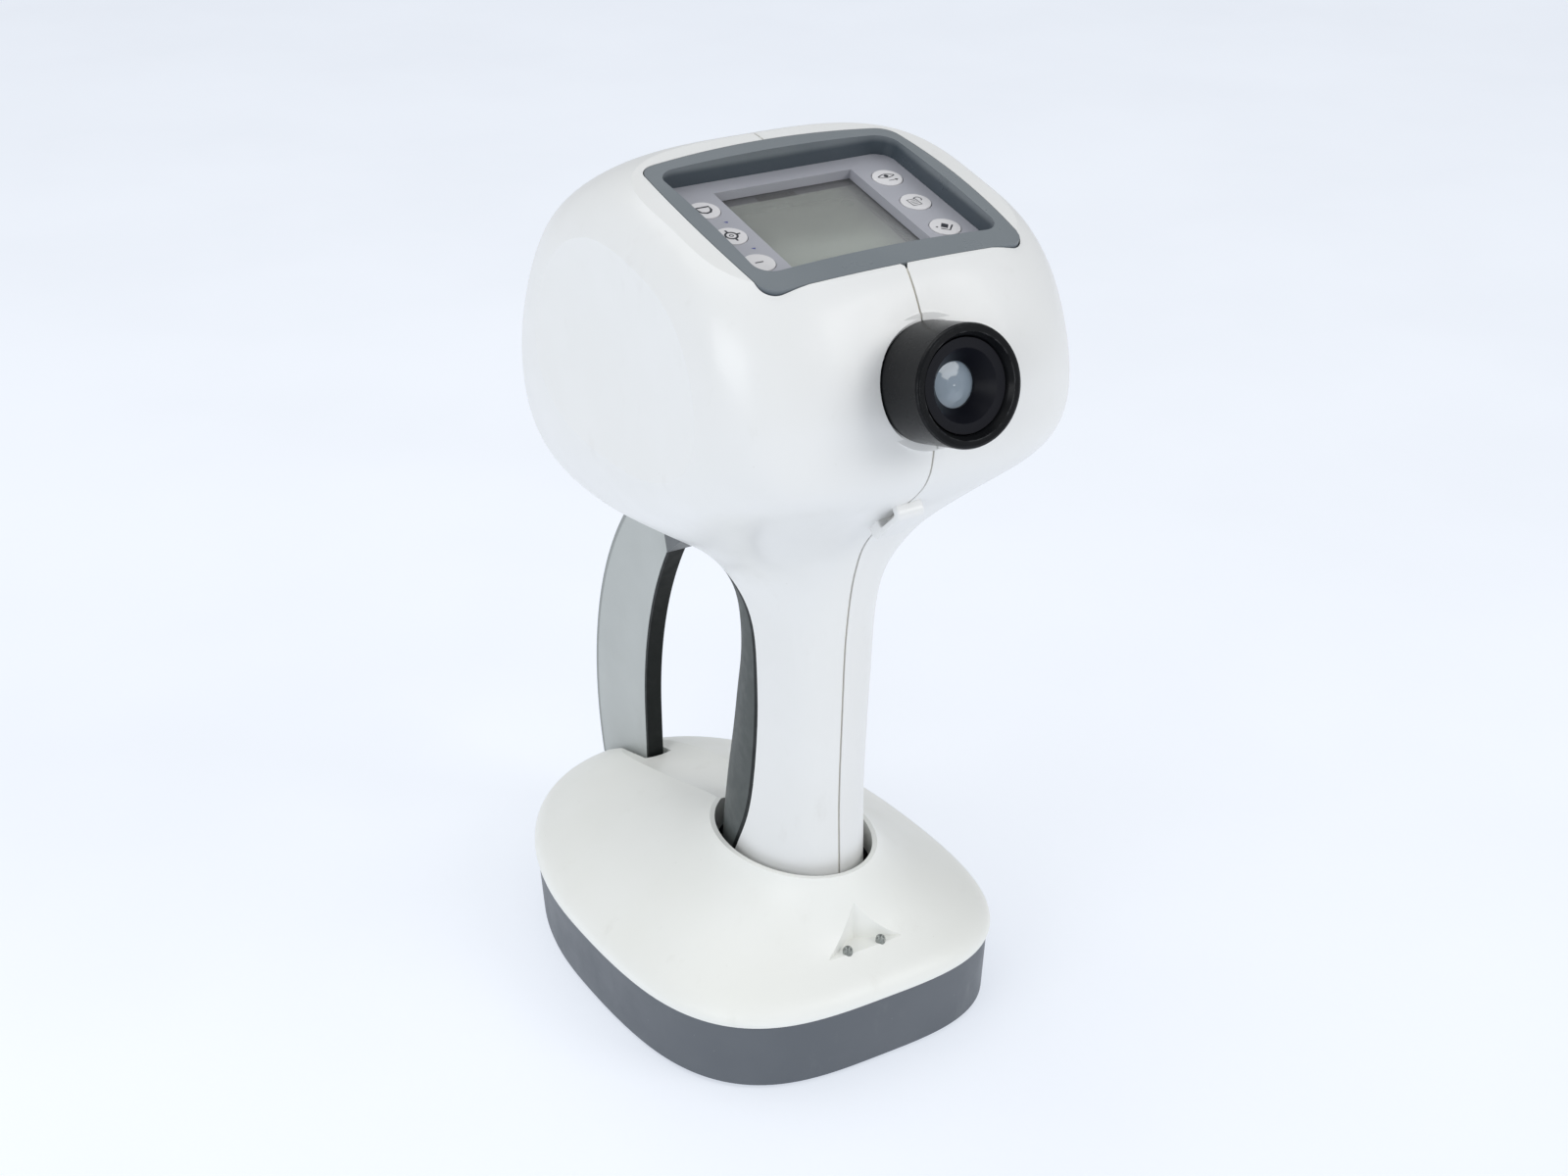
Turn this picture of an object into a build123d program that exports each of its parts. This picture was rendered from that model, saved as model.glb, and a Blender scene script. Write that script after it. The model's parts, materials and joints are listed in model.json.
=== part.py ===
from build123d import *
import math
import os

# Handheld air-puff tonometer docked upright in its charging stand.
# Millimetres, +Z up. The operator looks from -Y, the patient is at +Y, X is across.
# The origin is on the table, at the middle of the whole object's footprint box.

# ---------------------------------------------------------------- driving dimensions
DISPLAY_Y = -43.0            # line across the display's middle; section planes swing about it
DISPLAY_H = 276.2            # height of the display's corner plane on that line
DISPLAY_TILT = 13.8          # the display falls towards the operator by this angle

WALL = 2.2                   # shell wall
CAVITY_TOP = 267.0           # the hollow ends on the last section under this height
SEAM_GAP = 0.35              # half the groove between the left and right shells
FIT_GAP = 0.25               # gap round parts that sit in an opening

# Outer form of the handle and the head: level sections up the handle, dipping under the head
# along the optical axis, then swinging up to the display.
# height on the display line, tilt, front, back (both from the display line), half width, squareness
BODY_SECTIONS = [
    (20.0, 0.0, -3.5, 54.0, 20.5, 2.1),
    (32.0, 0.0, -3.9, 54.0, 20.3, 2.1),
    (44.0, 0.0, -4.3, 53.9, 20.1, 2.1),
    (56.0, 0.0, -4.4, 53.1, 20.0, 2.1),
    (68.0, 0.0, -4.3, 51.0, 19.8, 2.1),
    (80.0, 0.0, -4.2, 48.4, 19.6, 2.1),
    (92.0, 0.0, -4.6, 45.3, 19.45, 2.1),
    (104.0, 0.0, -5.3, 42.4, 19.4, 2.1),
    (115.0, 0.0, -6.0, 39.9, 19.4, 2.1),
    (125.0, 0.0, -6.6, 37.4, 19.5, 2.1),
    (134.0, 0.0, -7.2, 36.6, 19.6, 2.1),
    (142.0, -0.8, -8.0, 37.2, 19.9, 2.1),
    (150.0, -2.0, -9.2, 39.2, 20.7, 2.1),
    (159.0, -4.0, -11.0, 45.2, 23.0, 2.2),
    (168.0, -6.0, -14.0, 60.6, 29.0, 2.5),
    (179.0, -8.0, -21.5, 92.6, 43.2, 2.9),
    (191.0, -7.0, -35.8, 106.4, 54.4, 3.5),
    (203.0, -4.0, -47.6, 109.6, 60.8, 4.0),
    (216.0, 0.0, -52.2, 106.0, 63.4, 4.4),
    (231.0, 5.0, -52.8, 98.0, 64.2, 4.4),
    (245.0, 10.0, -52.7, 87.6, 63.7, 4.0),
    (257.0, 11.7, -49.7, 75.0, 62.0, 3.8),
    (266.0, 12.8, -46.0, 62.5, 59.3, 3.6),
    (272.0, 13.5, -42.8, 53.0, 56.0, 3.4),
    (276.2, 13.8, -39.6, 45.0, 51.5, 3.3),
    (280.4, 13.8, -35.2, 37.0, 44.5, 3.3),
]
CROWN_R = 475.0              # the display end is a shallow dome of this radius
CROWN_RISE = 3.3             # its top above the display's corner plane
SCALLOP_R = 420.0            # each side of the head has a shallow scallop of this radius
SCALLOP_X = 59.3             # distance of the scallop's floor from the middle plane
FLARE_TILT = 6.0             # sections that dip at least this much are the head's underside

# The eyepiece, nozzle and everything between lie on one optical axis.
AXIS_TILT = 13.8
EYE_Y = -111.9               # centre of the eyepiece's front
EYE_Z = 243.5
RING_R = 17.0
RING_LENGTH = 19.0

# The stand's outline is an egg: square-shouldered in front, rounder behind.
STAND_BACK = 108.7
STAND_FRONT = -74.3
STAND_HALF_WIDTH = 64.9
STAND_WIDEST_Y = 10.0
FOOT_H = 1.5
HOUSING_TOP = 24.8
WELL_Y = -18.8
WELL_HALF_X = 23.2
WELL_HALF_Y = 32.3
WELL_FLOOR = 12.0
HANDLE_BOTTOM = 14.3
HANDLE_LOW = 20.0            # the shells start here, above the end cap

# Edge between the white shells and the grip, seen from the side (y, z), from the bottom up
# the handle and then back under the head.
GRIP_EDGE = [
    (-9.0, 20.0),
    (-15.6, 57.0),
    (-22.6, 71.0),
    (-27.2, 90.0),
    (-29.8, 112.0),
    (-30.2, 133.0),
    (-26.5, 150.0),
    (-18.0, 157.5),
    (0.0, 160.5),
    (25.0, 161.0),
]
GRIP_TRIM = 1.8              # black trim between the shells and the grip

# Display end
BEZEL_HALF_X = 42.3          # at the corners; the sides bow out from there
BEZEL_BOW_X = 44.4
BEZEL_HALF_Y = 36.4
BEZEL_BOW_FRONT = -37.2
BEZEL_BOW_BACK = 38.4
RECESS_HALF_X = 39.6
RECESS_FRONT = -28.5
RECESS_BACK = 32.0
PANEL_DEPTH = 5.3
PANEL_THICK = 3.0
WINDOW_HALF_X = 23.4
WINDOW_FRONT = -22.6
WINDOW_BACK = 25.6
KEY_R = 4.6
KEY_X = 31.0
KEY_ROWS = {"upper": 17.3, "middle": 1.9, "lower": -13.6}

# Pump, upright beside the optical tube
PUMP_X = 30.0
PUMP_Y = -10.0
PISTON_R = 11.95
PISTON_TRAVEL = 10.0

# height, half width, widest y, front y, back y, front squareness, back squareness
COVER_CONTOURS = [
    (HOUSING_TOP, 64.9, 10.0, -74.3, 108.7, 3.25, 2.1),
    (27.6, 64.9, 10.0, -74.3, 108.7, 3.25, 2.1),
    (30.2, 63.2, 9.8, -72.7, 107.0, 3.2, 2.1),
    (33.5, 58.6, 8.5, -68.2, 102.0, 3.1, 2.1),
    (38.5, 51.0, 5.0, -61.9, 92.5, 2.8, 2.1),
    (43.5, 43.0, 0.0, -58.4, 78.5, 2.5, 2.1),
    (48.5, 35.8, -6.0, -56.2, 61.0, 2.3, 2.1),
    (53.5, 29.8, -12.5, -54.7, 40.0, 2.1, 2.05),
    (57.0, 26.6, -17.0, -53.5, 24.0, 2.0, 2.0),
    (59.6, 24.8, WELL_Y, -52.7, 15.2, 2.0, 2.0),
]

GUARD_THICK = 6.0            # hand guard, across X
GUARD_OUT_R = 125.0
GUARD_OUT_Z = 55.0
GUARD_REACH = 115.95         # the guard's furthest point from the origin, along +Y
GUARD_IN_R = 130.0
GUARD_IN_Y = -53.5
GUARD_IN_Z = 60.0
GUARD_FOOT_Z = 18.5
GUARD_PAD = 1.4              # black edging on the guard's inner face

os.makedirs("parts", exist_ok=True)


# ---------------------------------------------------------------- helpers
def write(builder, name):
    builder.part.label = name
    export_step(builder.part, f"parts/{name}.step")


def superellipse(centre, half_front, half_back, half_width, n_front, n_back, count=32):
    """Closed outline, starting at the operator's side and running round by +X."""
    points = []
    for step in range(count):
        angle = 2 * math.pi * step / count
        s = math.sin(angle)
        c = math.cos(angle)
        n = n_front if c > 0 else n_back
        reach = half_front if c > 0 else half_back
        x = half_width * math.copysign(abs(s) ** (2 / n), s)
        y = centre - reach * math.copysign(abs(c) ** (2 / n), c)
        points.append((x, y))
    return points


def body_form(inset=0.0, low=None, high=None):
    """Loft of the handle and head; inset makes the cavity's form.

    Under the head, where the form flares, the hollow also rises by the wall.
    """
    with BuildPart() as form:
        for height, tilt, front, back, half, n in BODY_SECTIONS:
            if low is not None and height < low:
                continue
            if high is not None and height > high:
                continue
            angle = math.radians(tilt)
            rise = inset * min(1.0, max(0.0, -tilt / FLARE_TILT))
            level = Plane(
                origin=(0, DISPLAY_Y, height + rise),
                x_dir=(1, 0, 0),
                z_dir=(0, -math.sin(angle), math.cos(angle)),
            )
            fore = (front + inset) / math.cos(angle)
            aft = (back - inset) / math.cos(angle)
            middle = (fore + aft) / 2
            reach = (aft - fore) / 2
            outline = superellipse(middle, reach, reach, half - inset, n, n)
            with BuildSketch(level):
                with BuildLine():
                    Spline(*outline, periodic=True)
                make_face()
        loft()
    return form


def egg(height, half, widest, front, back, n_front, n_back, inset=0.0):
    """Flat egg-shaped face, symmetric about the middle plane."""
    outline = superellipse(
        widest, widest - front - inset, back - widest - inset, half - inset, n_front, n_back
    )
    with BuildSketch(Plane.XY.offset(height)) as face:
        with BuildLine():
            Spline(*outline, periodic=True)
        make_face()
    return face.sketch


def cover_form(inset=0.0, drop=0.0):
    """Loft of the stand's domed cover; inset and drop make the hollow under it."""
    floors = [egg(height - drop, *rest, inset=inset) for height, *rest in COVER_CONTOURS]
    with BuildPart() as form:
        loft(sections=floors)
    return form


display_up = (0, -math.sin(math.radians(DISPLAY_TILT)), math.cos(math.radians(DISPLAY_TILT)))


def display_plane(depth=0.0):
    """Plane parallel to the display's corner plane, this far below it."""
    origin = (0, DISPLAY_Y - depth * display_up[1], DISPLAY_H - depth * display_up[2])
    return Plane(origin=origin, x_dir=(1, 0, 0), z_dir=display_up)


axis_dir = (0, math.cos(math.radians(AXIS_TILT)), -math.sin(math.radians(AXIS_TILT)))


def axis_plane(distance=0.0):
    """Plane across the optical axis, this far behind the eyepiece's front."""
    origin = (0, EYE_Y + distance * axis_dir[1], EYE_Z + distance * axis_dir[2])
    return Plane(origin=origin, x_dir=(1, 0, 0), z_dir=axis_dir)


# A plane that holds the optical axis: local x runs out from the axis, local y along it.
AXIS_SECTION = Plane(
    origin=(0, EYE_Y, EYE_Z),
    x_dir=(1, 0, 0),
    z_dir=(0, math.sin(math.radians(AXIS_TILT)), math.cos(math.radians(AXIS_TILT))),
)
OPTICAL_AXIS = Axis((0, EYE_Y, EYE_Z), axis_dir)


# ---------------------------------------------------------------- outer forms
outer_form = body_form()
inner_form = body_form(WALL, high=CAVITY_TOP)
crown_top = display_plane(CROWN_R - CROWN_RISE).origin
scallop_spots = [(side * (SCALLOP_X + SCALLOP_R), -30.0, 243.5) for side in (-1, 1)]

with BuildPart() as head_and_handle:
    add(outer_form)
    with Locations(*scallop_spots):
        Sphere(SCALLOP_R, mode=Mode.SUBTRACT)
    with Locations(crown_top):
        Sphere(CROWN_R, mode=Mode.INTERSECT)

with BuildPart() as cavity:
    add(inner_form)
    with Locations(*scallop_spots):
        Sphere(SCALLOP_R + WALL, mode=Mode.SUBTRACT)


def side_zone(points, far_y, half_width, low, high):
    """Slab seen from the side: a curved edge on the operator's side, square behind."""
    with BuildPart() as zone:
        with BuildSketch(Plane.YZ):
            with BuildLine():
                Spline(*points)
                Polyline(points[-1], (far_y, high), (far_y, low), points[0])
            make_face()
        extrude(amount=half_width, both=True)
    return zone.part


def shifted(points, distance):
    """The same edge moved sideways, towards the patient and down."""
    moved = []
    for index, (y, z) in enumerate(points):
        before = points[max(index - 1, 0)]
        after = points[min(index + 1, len(points) - 1)]
        run = math.hypot(after[0] - before[0], after[1] - before[1])
        moved.append((
            y + distance * (after[1] - before[1]) / run,
            z - distance * (after[0] - before[0]) / run,
        ))
    return moved


trim_edge = shifted(GRIP_EDGE, GRIP_TRIM)
grip_far = 90.0
grip_zone = side_zone(GRIP_EDGE, grip_far, 50.0, GRIP_EDGE[0][1], GRIP_EDGE[-1][1])
inside_trim = side_zone(trim_edge, grip_far, 50.0, trim_edge[0][1] - 5.0, trim_edge[-1][1])


def bezel_outline(gap=0.0):
    """Barrel-sided outline of the display bezel, with round corners."""
    half_x = BEZEL_HALF_X + gap
    half_y = BEZEL_HALF_Y + gap
    with BuildSketch() as outline:
        with BuildLine():
            ThreePointArc((-half_x, -half_y), (0, BEZEL_BOW_FRONT - gap), (half_x, -half_y))
            ThreePointArc((half_x, -half_y), (BEZEL_BOW_X + gap, 3.0), (half_x, half_y))
            ThreePointArc((half_x, half_y), (0, BEZEL_BOW_BACK + gap), (-half_x, half_y))
            ThreePointArc((-half_x, half_y), (-BEZEL_BOW_X - gap, 3.0), (-half_x, -half_y))
        make_face()
        fillet(outline.vertices(), radius=6.0)
    return outline.sketch


# ---------------------------------------------------------------- shells, grip, trim
BEZEL_DEPTH = 9.3
BOSS_FACE = 19.4             # the ring turns just in front of a boss on the shells
BARREL_R = 13.3
NOZZLE_R = 21.0
POST_R = 4.6
POST_SPOTS = [(-72.0, 205.0), (42.0, 178.5), (15.0, 260.0)]
SCREW_R = 1.5
SCREW_HEAD_R = 2.9
SCREW_SEAT_X = 6.0

with BuildPart() as posts:
    with BuildSketch(Plane.YZ):
        with Locations(*POST_SPOTS):
            Circle(POST_R)
    extrude(amount=70.0, both=True)
    add(head_and_handle, mode=Mode.INTERSECT)

with BuildPart() as shell_pair:
    add(head_and_handle)
    add(cavity, mode=Mode.SUBTRACT)
    add(posts)
    with BuildSketch(axis_plane(BOSS_FACE)):
        Circle(19.0)
    extrude(amount=8.6)
    with BuildSketch(axis_plane(-5.0)):
        Circle(RING_R + 0.4)
    extrude(amount=BOSS_FACE + 5.0, mode=Mode.SUBTRACT)
    with BuildSketch(axis_plane()):
        Circle(BARREL_R + 0.2)
    extrude(amount=40.0, mode=Mode.SUBTRACT)
    with BuildSketch(axis_plane(150.0)):
        Circle(NOZZLE_R + FIT_GAP)
    extrude(amount=50.0, mode=Mode.SUBTRACT)
    with BuildSketch(display_plane(BEZEL_DEPTH + FIT_GAP)):
        add(bezel_outline(FIT_GAP))
    extrude(amount=20.0, mode=Mode.SUBTRACT)
    with BuildSketch(display_plane(22.0)):
        with Locations((0, 1.0)):
            RectangleRounded(77.8, 62.0, 3.0)
    extrude(amount=16.0, mode=Mode.SUBTRACT)
    with BuildSketch(display_plane(BEZEL_DEPTH)):
        Polygon((-1.7, -36.5), (1.7, -36.5), (0.0, -39.4), align=None)
    extrude(amount=20.0, mode=Mode.SUBTRACT)
    add(grip_zone, mode=Mode.SUBTRACT)

with BuildPart() as left_shell:
    add(shell_pair)
    split(bisect_by=Plane.YZ.offset(-SEAM_GAP), keep=Keep.BOTTOM)
    with BuildSketch(Plane.YZ.offset(-9.0)):
        with Locations(*POST_SPOTS):
            Circle(SCREW_R)
    extrude(amount=10.0, mode=Mode.SUBTRACT)
write(left_shell, "left_shell")

with BuildPart() as right_shell:
    add(shell_pair)
    split(bisect_by=Plane.YZ.offset(SEAM_GAP), keep=Keep.TOP)
    with BuildSketch(Plane.YZ):
        with Locations(*POST_SPOTS):
            Circle(SCREW_R)
    extrude(amount=SCREW_SEAT_X, mode=Mode.SUBTRACT)
    with BuildSketch(Plane.YZ.offset(SCREW_SEAT_X)):
        with Locations(*POST_SPOTS):
            Circle(SCREW_HEAD_R + 0.4)
    extrude(amount=70.0, mode=Mode.SUBTRACT)
write(right_shell, "right_shell")

with BuildPart() as shell_screws:
    with BuildSketch(Plane.YZ.offset(-9.0)):
        with Locations(*POST_SPOTS):
            Circle(SCREW_R)
    extrude(amount=9.0 + SCREW_SEAT_X)
    with BuildSketch(Plane.YZ.offset(SCREW_SEAT_X)):
        with Locations(*POST_SPOTS):
            Circle(SCREW_HEAD_R)
            RegularPolygon(1.3, 6, mode=Mode.SUBTRACT)
    extrude(amount=2.4)
write(shell_screws, "shell_screws")

# A soft cord closes the groove between the two shells, a little below the surface.
CORD_DROP = 0.7
cord_form = body_form(CORD_DROP)
with BuildPart() as cord_band:
    add(cord_form)
    with Locations(crown_top):
        Sphere(CROWN_R - CORD_DROP, mode=Mode.INTERSECT)
    add(cavity, mode=Mode.SUBTRACT)
    with BuildSketch(axis_plane(-5.0)):
        Circle(RING_R + 0.4)
    extrude(amount=200.0, mode=Mode.SUBTRACT)
    with BuildSketch(axis_plane(140.0)):
        Circle(NOZZLE_R + FIT_GAP)
    extrude(amount=60.0, mode=Mode.SUBTRACT)
    with BuildSketch(display_plane(BEZEL_DEPTH + FIT_GAP)):
        add(bezel_outline(FIT_GAP))
    extrude(amount=20.0, mode=Mode.SUBTRACT)
    with BuildSketch(display_plane(22.0)):
        with Locations((0, 1.0)):
            RectangleRounded(77.8, 62.0, 3.0)
    extrude(amount=16.0, mode=Mode.SUBTRACT)
    with BuildSketch(display_plane(BEZEL_DEPTH)):
        Polygon((-1.7, -36.5), (1.7, -36.5), (0.0, -39.4), align=None)
    extrude(amount=20.0, mode=Mode.SUBTRACT)
    add(grip_zone, mode=Mode.SUBTRACT)
    split(bisect_by=Plane.YZ.offset(-SEAM_GAP), keep=Keep.TOP)

cord_faces = cord_band.faces().filter_by_position(Axis.X, -1.01 * SEAM_GAP, -0.99 * SEAM_GAP)
with BuildPart() as shell_gasket:
    extrude(cord_faces, amount=2 * SEAM_GAP, dir=(1, 0, 0))
write(shell_gasket, "shell_gasket")

with BuildPart() as grip:
    add(head_and_handle)
    add(cavity, mode=Mode.SUBTRACT)
    add(inside_trim, mode=Mode.INTERSECT)
write(grip, "grip")

with BuildPart() as grip_trim:
    add(head_and_handle)
    add(cavity, mode=Mode.SUBTRACT)
    add(grip_zone, mode=Mode.INTERSECT)
    add(inside_trim, mode=Mode.SUBTRACT)
write(grip_trim, "grip_trim")

# ---------------------------------------------------------------- foot of the handle
foot_front, foot_back, foot_half, foot_n = BODY_SECTIONS[0][2:]
CONTACT_X = 5.0
CONTACT_R = 2.4
CONTACT_THICK = 1.0


def handle_section(inset):
    reach = (foot_back - foot_front) / 2 - inset
    middle = DISPLAY_Y + (foot_back + foot_front) / 2
    outline = superellipse(middle, reach, reach, foot_half - inset, foot_n, foot_n)
    with BuildSketch() as section:
        with BuildLine():
            Spline(*outline, periodic=True)
        make_face()
    return section.sketch


with BuildPart() as handle_end_cap:
    with BuildSketch(Plane.XY.offset(HANDLE_BOTTOM)):
        add(handle_section(0.2))
    extrude(amount=HANDLE_LOW - HANDLE_BOTTOM)
    fillet(handle_end_cap.faces().sort_by(Axis.Z)[0].edges(), radius=2.2)
    with BuildSketch(Plane.XY.offset(HANDLE_LOW)):
        add(handle_section(WALL + 0.8))
    extrude(amount=3.0)
    with BuildSketch(Plane.XY.offset(HANDLE_BOTTOM)):
        with Locations((-CONTACT_X, WELL_Y), (CONTACT_X, WELL_Y)):
            Circle(CONTACT_R)
    extrude(amount=CONTACT_THICK, mode=Mode.SUBTRACT)
write(handle_end_cap, "handle_end_cap")

with BuildPart() as handle_contacts:
    with BuildSketch(Plane.XY.offset(HANDLE_BOTTOM)):
        with Locations((-CONTACT_X, WELL_Y), (CONTACT_X, WELL_Y)):
            Circle(CONTACT_R)
    extrude(amount=CONTACT_THICK)
write(handle_contacts, "handle_contacts")

BATTERY_Y = -25.5
with BuildPart() as battery_pack:
    with BuildSketch(Plane.XY.offset(28.0)):
        with Locations((0, BATTERY_Y)):
            RectangleRounded(22.0, 26.0, 4.0)
    extrude(amount=84.0)
write(battery_pack, "battery_pack")

# ---------------------------------------------------------------- hand guard
guard_out_y = GUARD_REACH - GUARD_OUT_R


def arc_y(centre_y, centre_z, radius, z):
    return centre_y + math.sqrt(radius ** 2 - (z - centre_z) ** 2)


def guard_profile(inner_shift, top_z):
    """Bow seen from the side: straight inside below the arc, so that it lifts clear."""
    inner_r = GUARD_IN_R + inner_shift
    inner_low = (GUARD_IN_Y + inner_r, GUARD_FOOT_Z)
    inner_mid = (GUARD_IN_Y + inner_r, GUARD_IN_Z)
    inner_half = (arc_y(GUARD_IN_Y, GUARD_IN_Z, inner_r, 115.0), 115.0)
    inner_top = (arc_y(GUARD_IN_Y, GUARD_IN_Z, inner_r, top_z), top_z)
    outer_top = (arc_y(guard_out_y, GUARD_OUT_Z, GUARD_OUT_R, top_z), top_z)
    outer_mid = (GUARD_REACH, GUARD_OUT_Z)
    outer_low = (arc_y(guard_out_y, GUARD_OUT_Z, GUARD_OUT_R, GUARD_FOOT_Z), GUARD_FOOT_Z)
    with BuildSketch(Plane.YZ.offset(-GUARD_THICK / 2)) as profile:
        with BuildLine():
            Line(inner_low, inner_mid)
            ThreePointArc(inner_mid, inner_half, inner_top)
            Line(inner_top, outer_top)
            ThreePointArc(outer_top, outer_mid, outer_low)
            Line(outer_low, inner_low)
        make_face()
    return profile.sketch


GUARD_TOP_Z = 172.0
BRACKET_HALF_X = 5.4
with BuildPart() as guard_bracket:
    with BuildSketch(Plane.YZ):
        with BuildLine():
            Polyline(
                (52.5, 133.0), (22.0, 157.0), (22.0, 178.0), (44.0, 178.0), (44.0, 167.0),
                (59.0, 158.0), close=True,
            )
        make_face()
    extrude(amount=BRACKET_HALF_X, both=True)
    add(head_and_handle, mode=Mode.SUBTRACT)
write(guard_bracket, "guard_bracket")

with BuildPart() as guard_plate:
    extrude(guard_profile(GUARD_PAD, GUARD_TOP_Z), amount=GUARD_THICK)
    add(guard_bracket, mode=Mode.SUBTRACT)
    add(head_and_handle, mode=Mode.SUBTRACT)
write(guard_plate, "guard_plate")

with BuildPart() as guard_edging:
    extrude(guard_profile(0.0, GUARD_TOP_Z), amount=GUARD_THICK)
    extrude(guard_profile(GUARD_PAD, GUARD_TOP_Z), amount=GUARD_THICK, mode=Mode.SUBTRACT)
    add(guard_bracket, mode=Mode.SUBTRACT)
    add(head_and_handle, mode=Mode.SUBTRACT)
write(guard_edging, "guard_edging")

# Carrying-strap lug: a round-cornered loop that bridges the seam at the throat.
LUG_HALF_X = 4.5
LUG_LENGTH = 18.0
LUG_DEPTH = 10.0             # half of it is cut away by the throat's surface
LUG_OUT = 4.3                # the loop's outside, above the throat
LUG_EYE_LENGTH = 9.5
LUG_EYE_OUT = 2.2
lug_along = (0, -0.74, 0.67)
lug_plane = Plane(origin=(0, -77.5, 194.3), x_dir=lug_along, z_dir=(1, 0, 0))
with BuildPart() as strap_lug:
    with BuildSketch(lug_plane.offset(-LUG_HALF_X)):
        with Locations((-1.0, LUG_OUT - LUG_DEPTH / 2)):
            RectangleRounded(LUG_LENGTH, LUG_DEPTH, 2.5)
        with Locations((0.75, 0.1)):
            RectangleRounded(LUG_EYE_LENGTH, 2 * LUG_EYE_OUT - 0.2, 0.9, mode=Mode.SUBTRACT)
    extrude(amount=2 * LUG_HALF_X)
    fillet(strap_lug.edges().group_by(Axis.X)[0], radius=0.6)
    fillet(strap_lug.edges().group_by(Axis.X)[-1], radius=0.6)
    add(head_and_handle, mode=Mode.SUBTRACT)
write(strap_lug, "strap_lug")

# ---------------------------------------------------------------- display
with BuildPart() as display_bezel:
    with BuildSketch(display_plane(BEZEL_DEPTH)):
        add(bezel_outline())
    extrude(amount=BEZEL_DEPTH + 6.0)
    with Locations(crown_top):
        Sphere(CROWN_R, mode=Mode.INTERSECT)
    recess_middle = (RECESS_FRONT + RECESS_BACK) / 2
    recess_length = RECESS_BACK - RECESS_FRONT
    with BuildSketch(display_plane(-6.0)):
        with Locations((0, recess_middle)):
            RectangleRounded(2 * RECESS_HALF_X, recess_length, 6.0)
    extrude(amount=-30.0, mode=Mode.SUBTRACT)
write(display_bezel, "display_bezel")

PANEL_GAP = 0.1
LOW_X = 25.2                 # half width of the window and the display module
WINDOW_THICK = 1.0
MODULE_THICK = 3.7
with BuildPart() as key_panel:
    with BuildSketch(display_plane(PANEL_DEPTH)):
        with Locations((0, recess_middle)):
            RectangleRounded(2 * RECESS_HALF_X - PANEL_GAP, recess_length - PANEL_GAP, 5.9)
        with Locations((0, (WINDOW_FRONT + WINDOW_BACK) / 2)):
            Rectangle(2 * WINDOW_HALF_X, WINDOW_BACK - WINDOW_FRONT, mode=Mode.SUBTRACT)
        with Locations(*[(side * KEY_X, y) for side in (-1, 1) for y in KEY_ROWS.values()]):
            Circle(KEY_R + 0.2, mode=Mode.SUBTRACT)
    extrude(amount=-PANEL_THICK)
write(key_panel, "key_panel")

under_panel = PANEL_DEPTH + PANEL_THICK
with BuildPart() as display_window:
    with BuildSketch(display_plane(under_panel)):
        with Locations((0, (WINDOW_FRONT + WINDOW_BACK) / 2)):
            Rectangle(2 * LOW_X, WINDOW_BACK - WINDOW_FRONT + 4.0)
    extrude(amount=-WINDOW_THICK)
write(display_window, "display_window")

with BuildPart() as display_module:
    with BuildSketch(display_plane(under_panel + WINDOW_THICK)):
        with Locations((0, (WINDOW_FRONT + WINDOW_BACK) / 2)):
            Rectangle(2 * LOW_X, WINDOW_BACK - WINDOW_FRONT + 5.0)
    extrude(amount=-MODULE_THICK)
write(display_module, "display_module")

KEY_TRAVEL = 0.5
KEY_TOP = PANEL_DEPTH - 0.3
KEY_FLANGE_R = 5.1
for side_name, side in (("left", -1), ("right", 1)):
    for row_name, row_y in KEY_ROWS.items():
        with BuildPart() as key:
            with BuildSketch(display_plane(under_panel + 0.2)):
                with Locations((side * KEY_X, row_y)):
                    Circle(KEY_R)
            extrude(amount=under_panel + 0.2 - KEY_TOP)
            fillet(key.faces().sort_by(Axis((0, 0, 0), display_up))[-1].edges(), radius=0.25)
            with BuildSketch(display_plane(under_panel + 0.2)):
                with Locations((side * KEY_X, row_y)):
                    Circle(KEY_FLANGE_R)
            extrude(amount=-0.6)
        write(key, f"key_{side_name}_{row_name}")

BOARD_TOP = 15.5
KEY_BOARD_TOP = 11.0
SWITCH_TOP = under_panel + 0.8 + KEY_TRAVEL + 0.1
with BuildPart() as key_boards:
    with BuildSketch(display_plane(KEY_BOARD_TOP)):
        with Locations((-KEY_X - 1.5, 2.0), (KEY_X + 1.5, 2.0)):
            Rectangle(12.0, 46.0)
    extrude(amount=-1.2)
    with BuildSketch(display_plane(KEY_BOARD_TOP)):
        with Locations(*[(side * KEY_X, y) for side in (-1, 1) for y in KEY_ROWS.values()]):
            Circle(2.0)
    extrude(amount=KEY_BOARD_TOP - SWITCH_TOP)
    with BuildSketch(display_plane(KEY_BOARD_TOP)):
        with Locations(*[(side * 37.4, y) for side in (-1, 1) for y in (-6.0, 9.6)]):
            Circle(1.0)
    extrude(amount=KEY_BOARD_TOP - under_panel)
write(key_boards, "key_boards")

with BuildPart() as main_board:
    with BuildSketch(display_plane(BOARD_TOP)):
        Rectangle(74.0, 60.0)
    extrude(amount=-1.6)
    module_bottom = under_panel + WINDOW_THICK + MODULE_THICK
    with BuildSketch(display_plane(BOARD_TOP)):
        with Locations(*[(x, y) for x in (-20.0, 20.0) for y in (-18.0, 20.0)]):
            Circle(2.0)
    extrude(amount=BOARD_TOP - module_bottom)
    with BuildSketch(display_plane(BOARD_TOP + 1.6)):
        with Locations((-12.0, 6.0)):
            Rectangle(14.0, 14.0)
        with Locations((14.0, -8.0)):
            Rectangle(10.0, 7.0)
        with Locations((16.0, 14.0)):
            Rectangle(8.0, 12.0)
    extrude(amount=-1.4)
write(main_board, "main_board")


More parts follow.
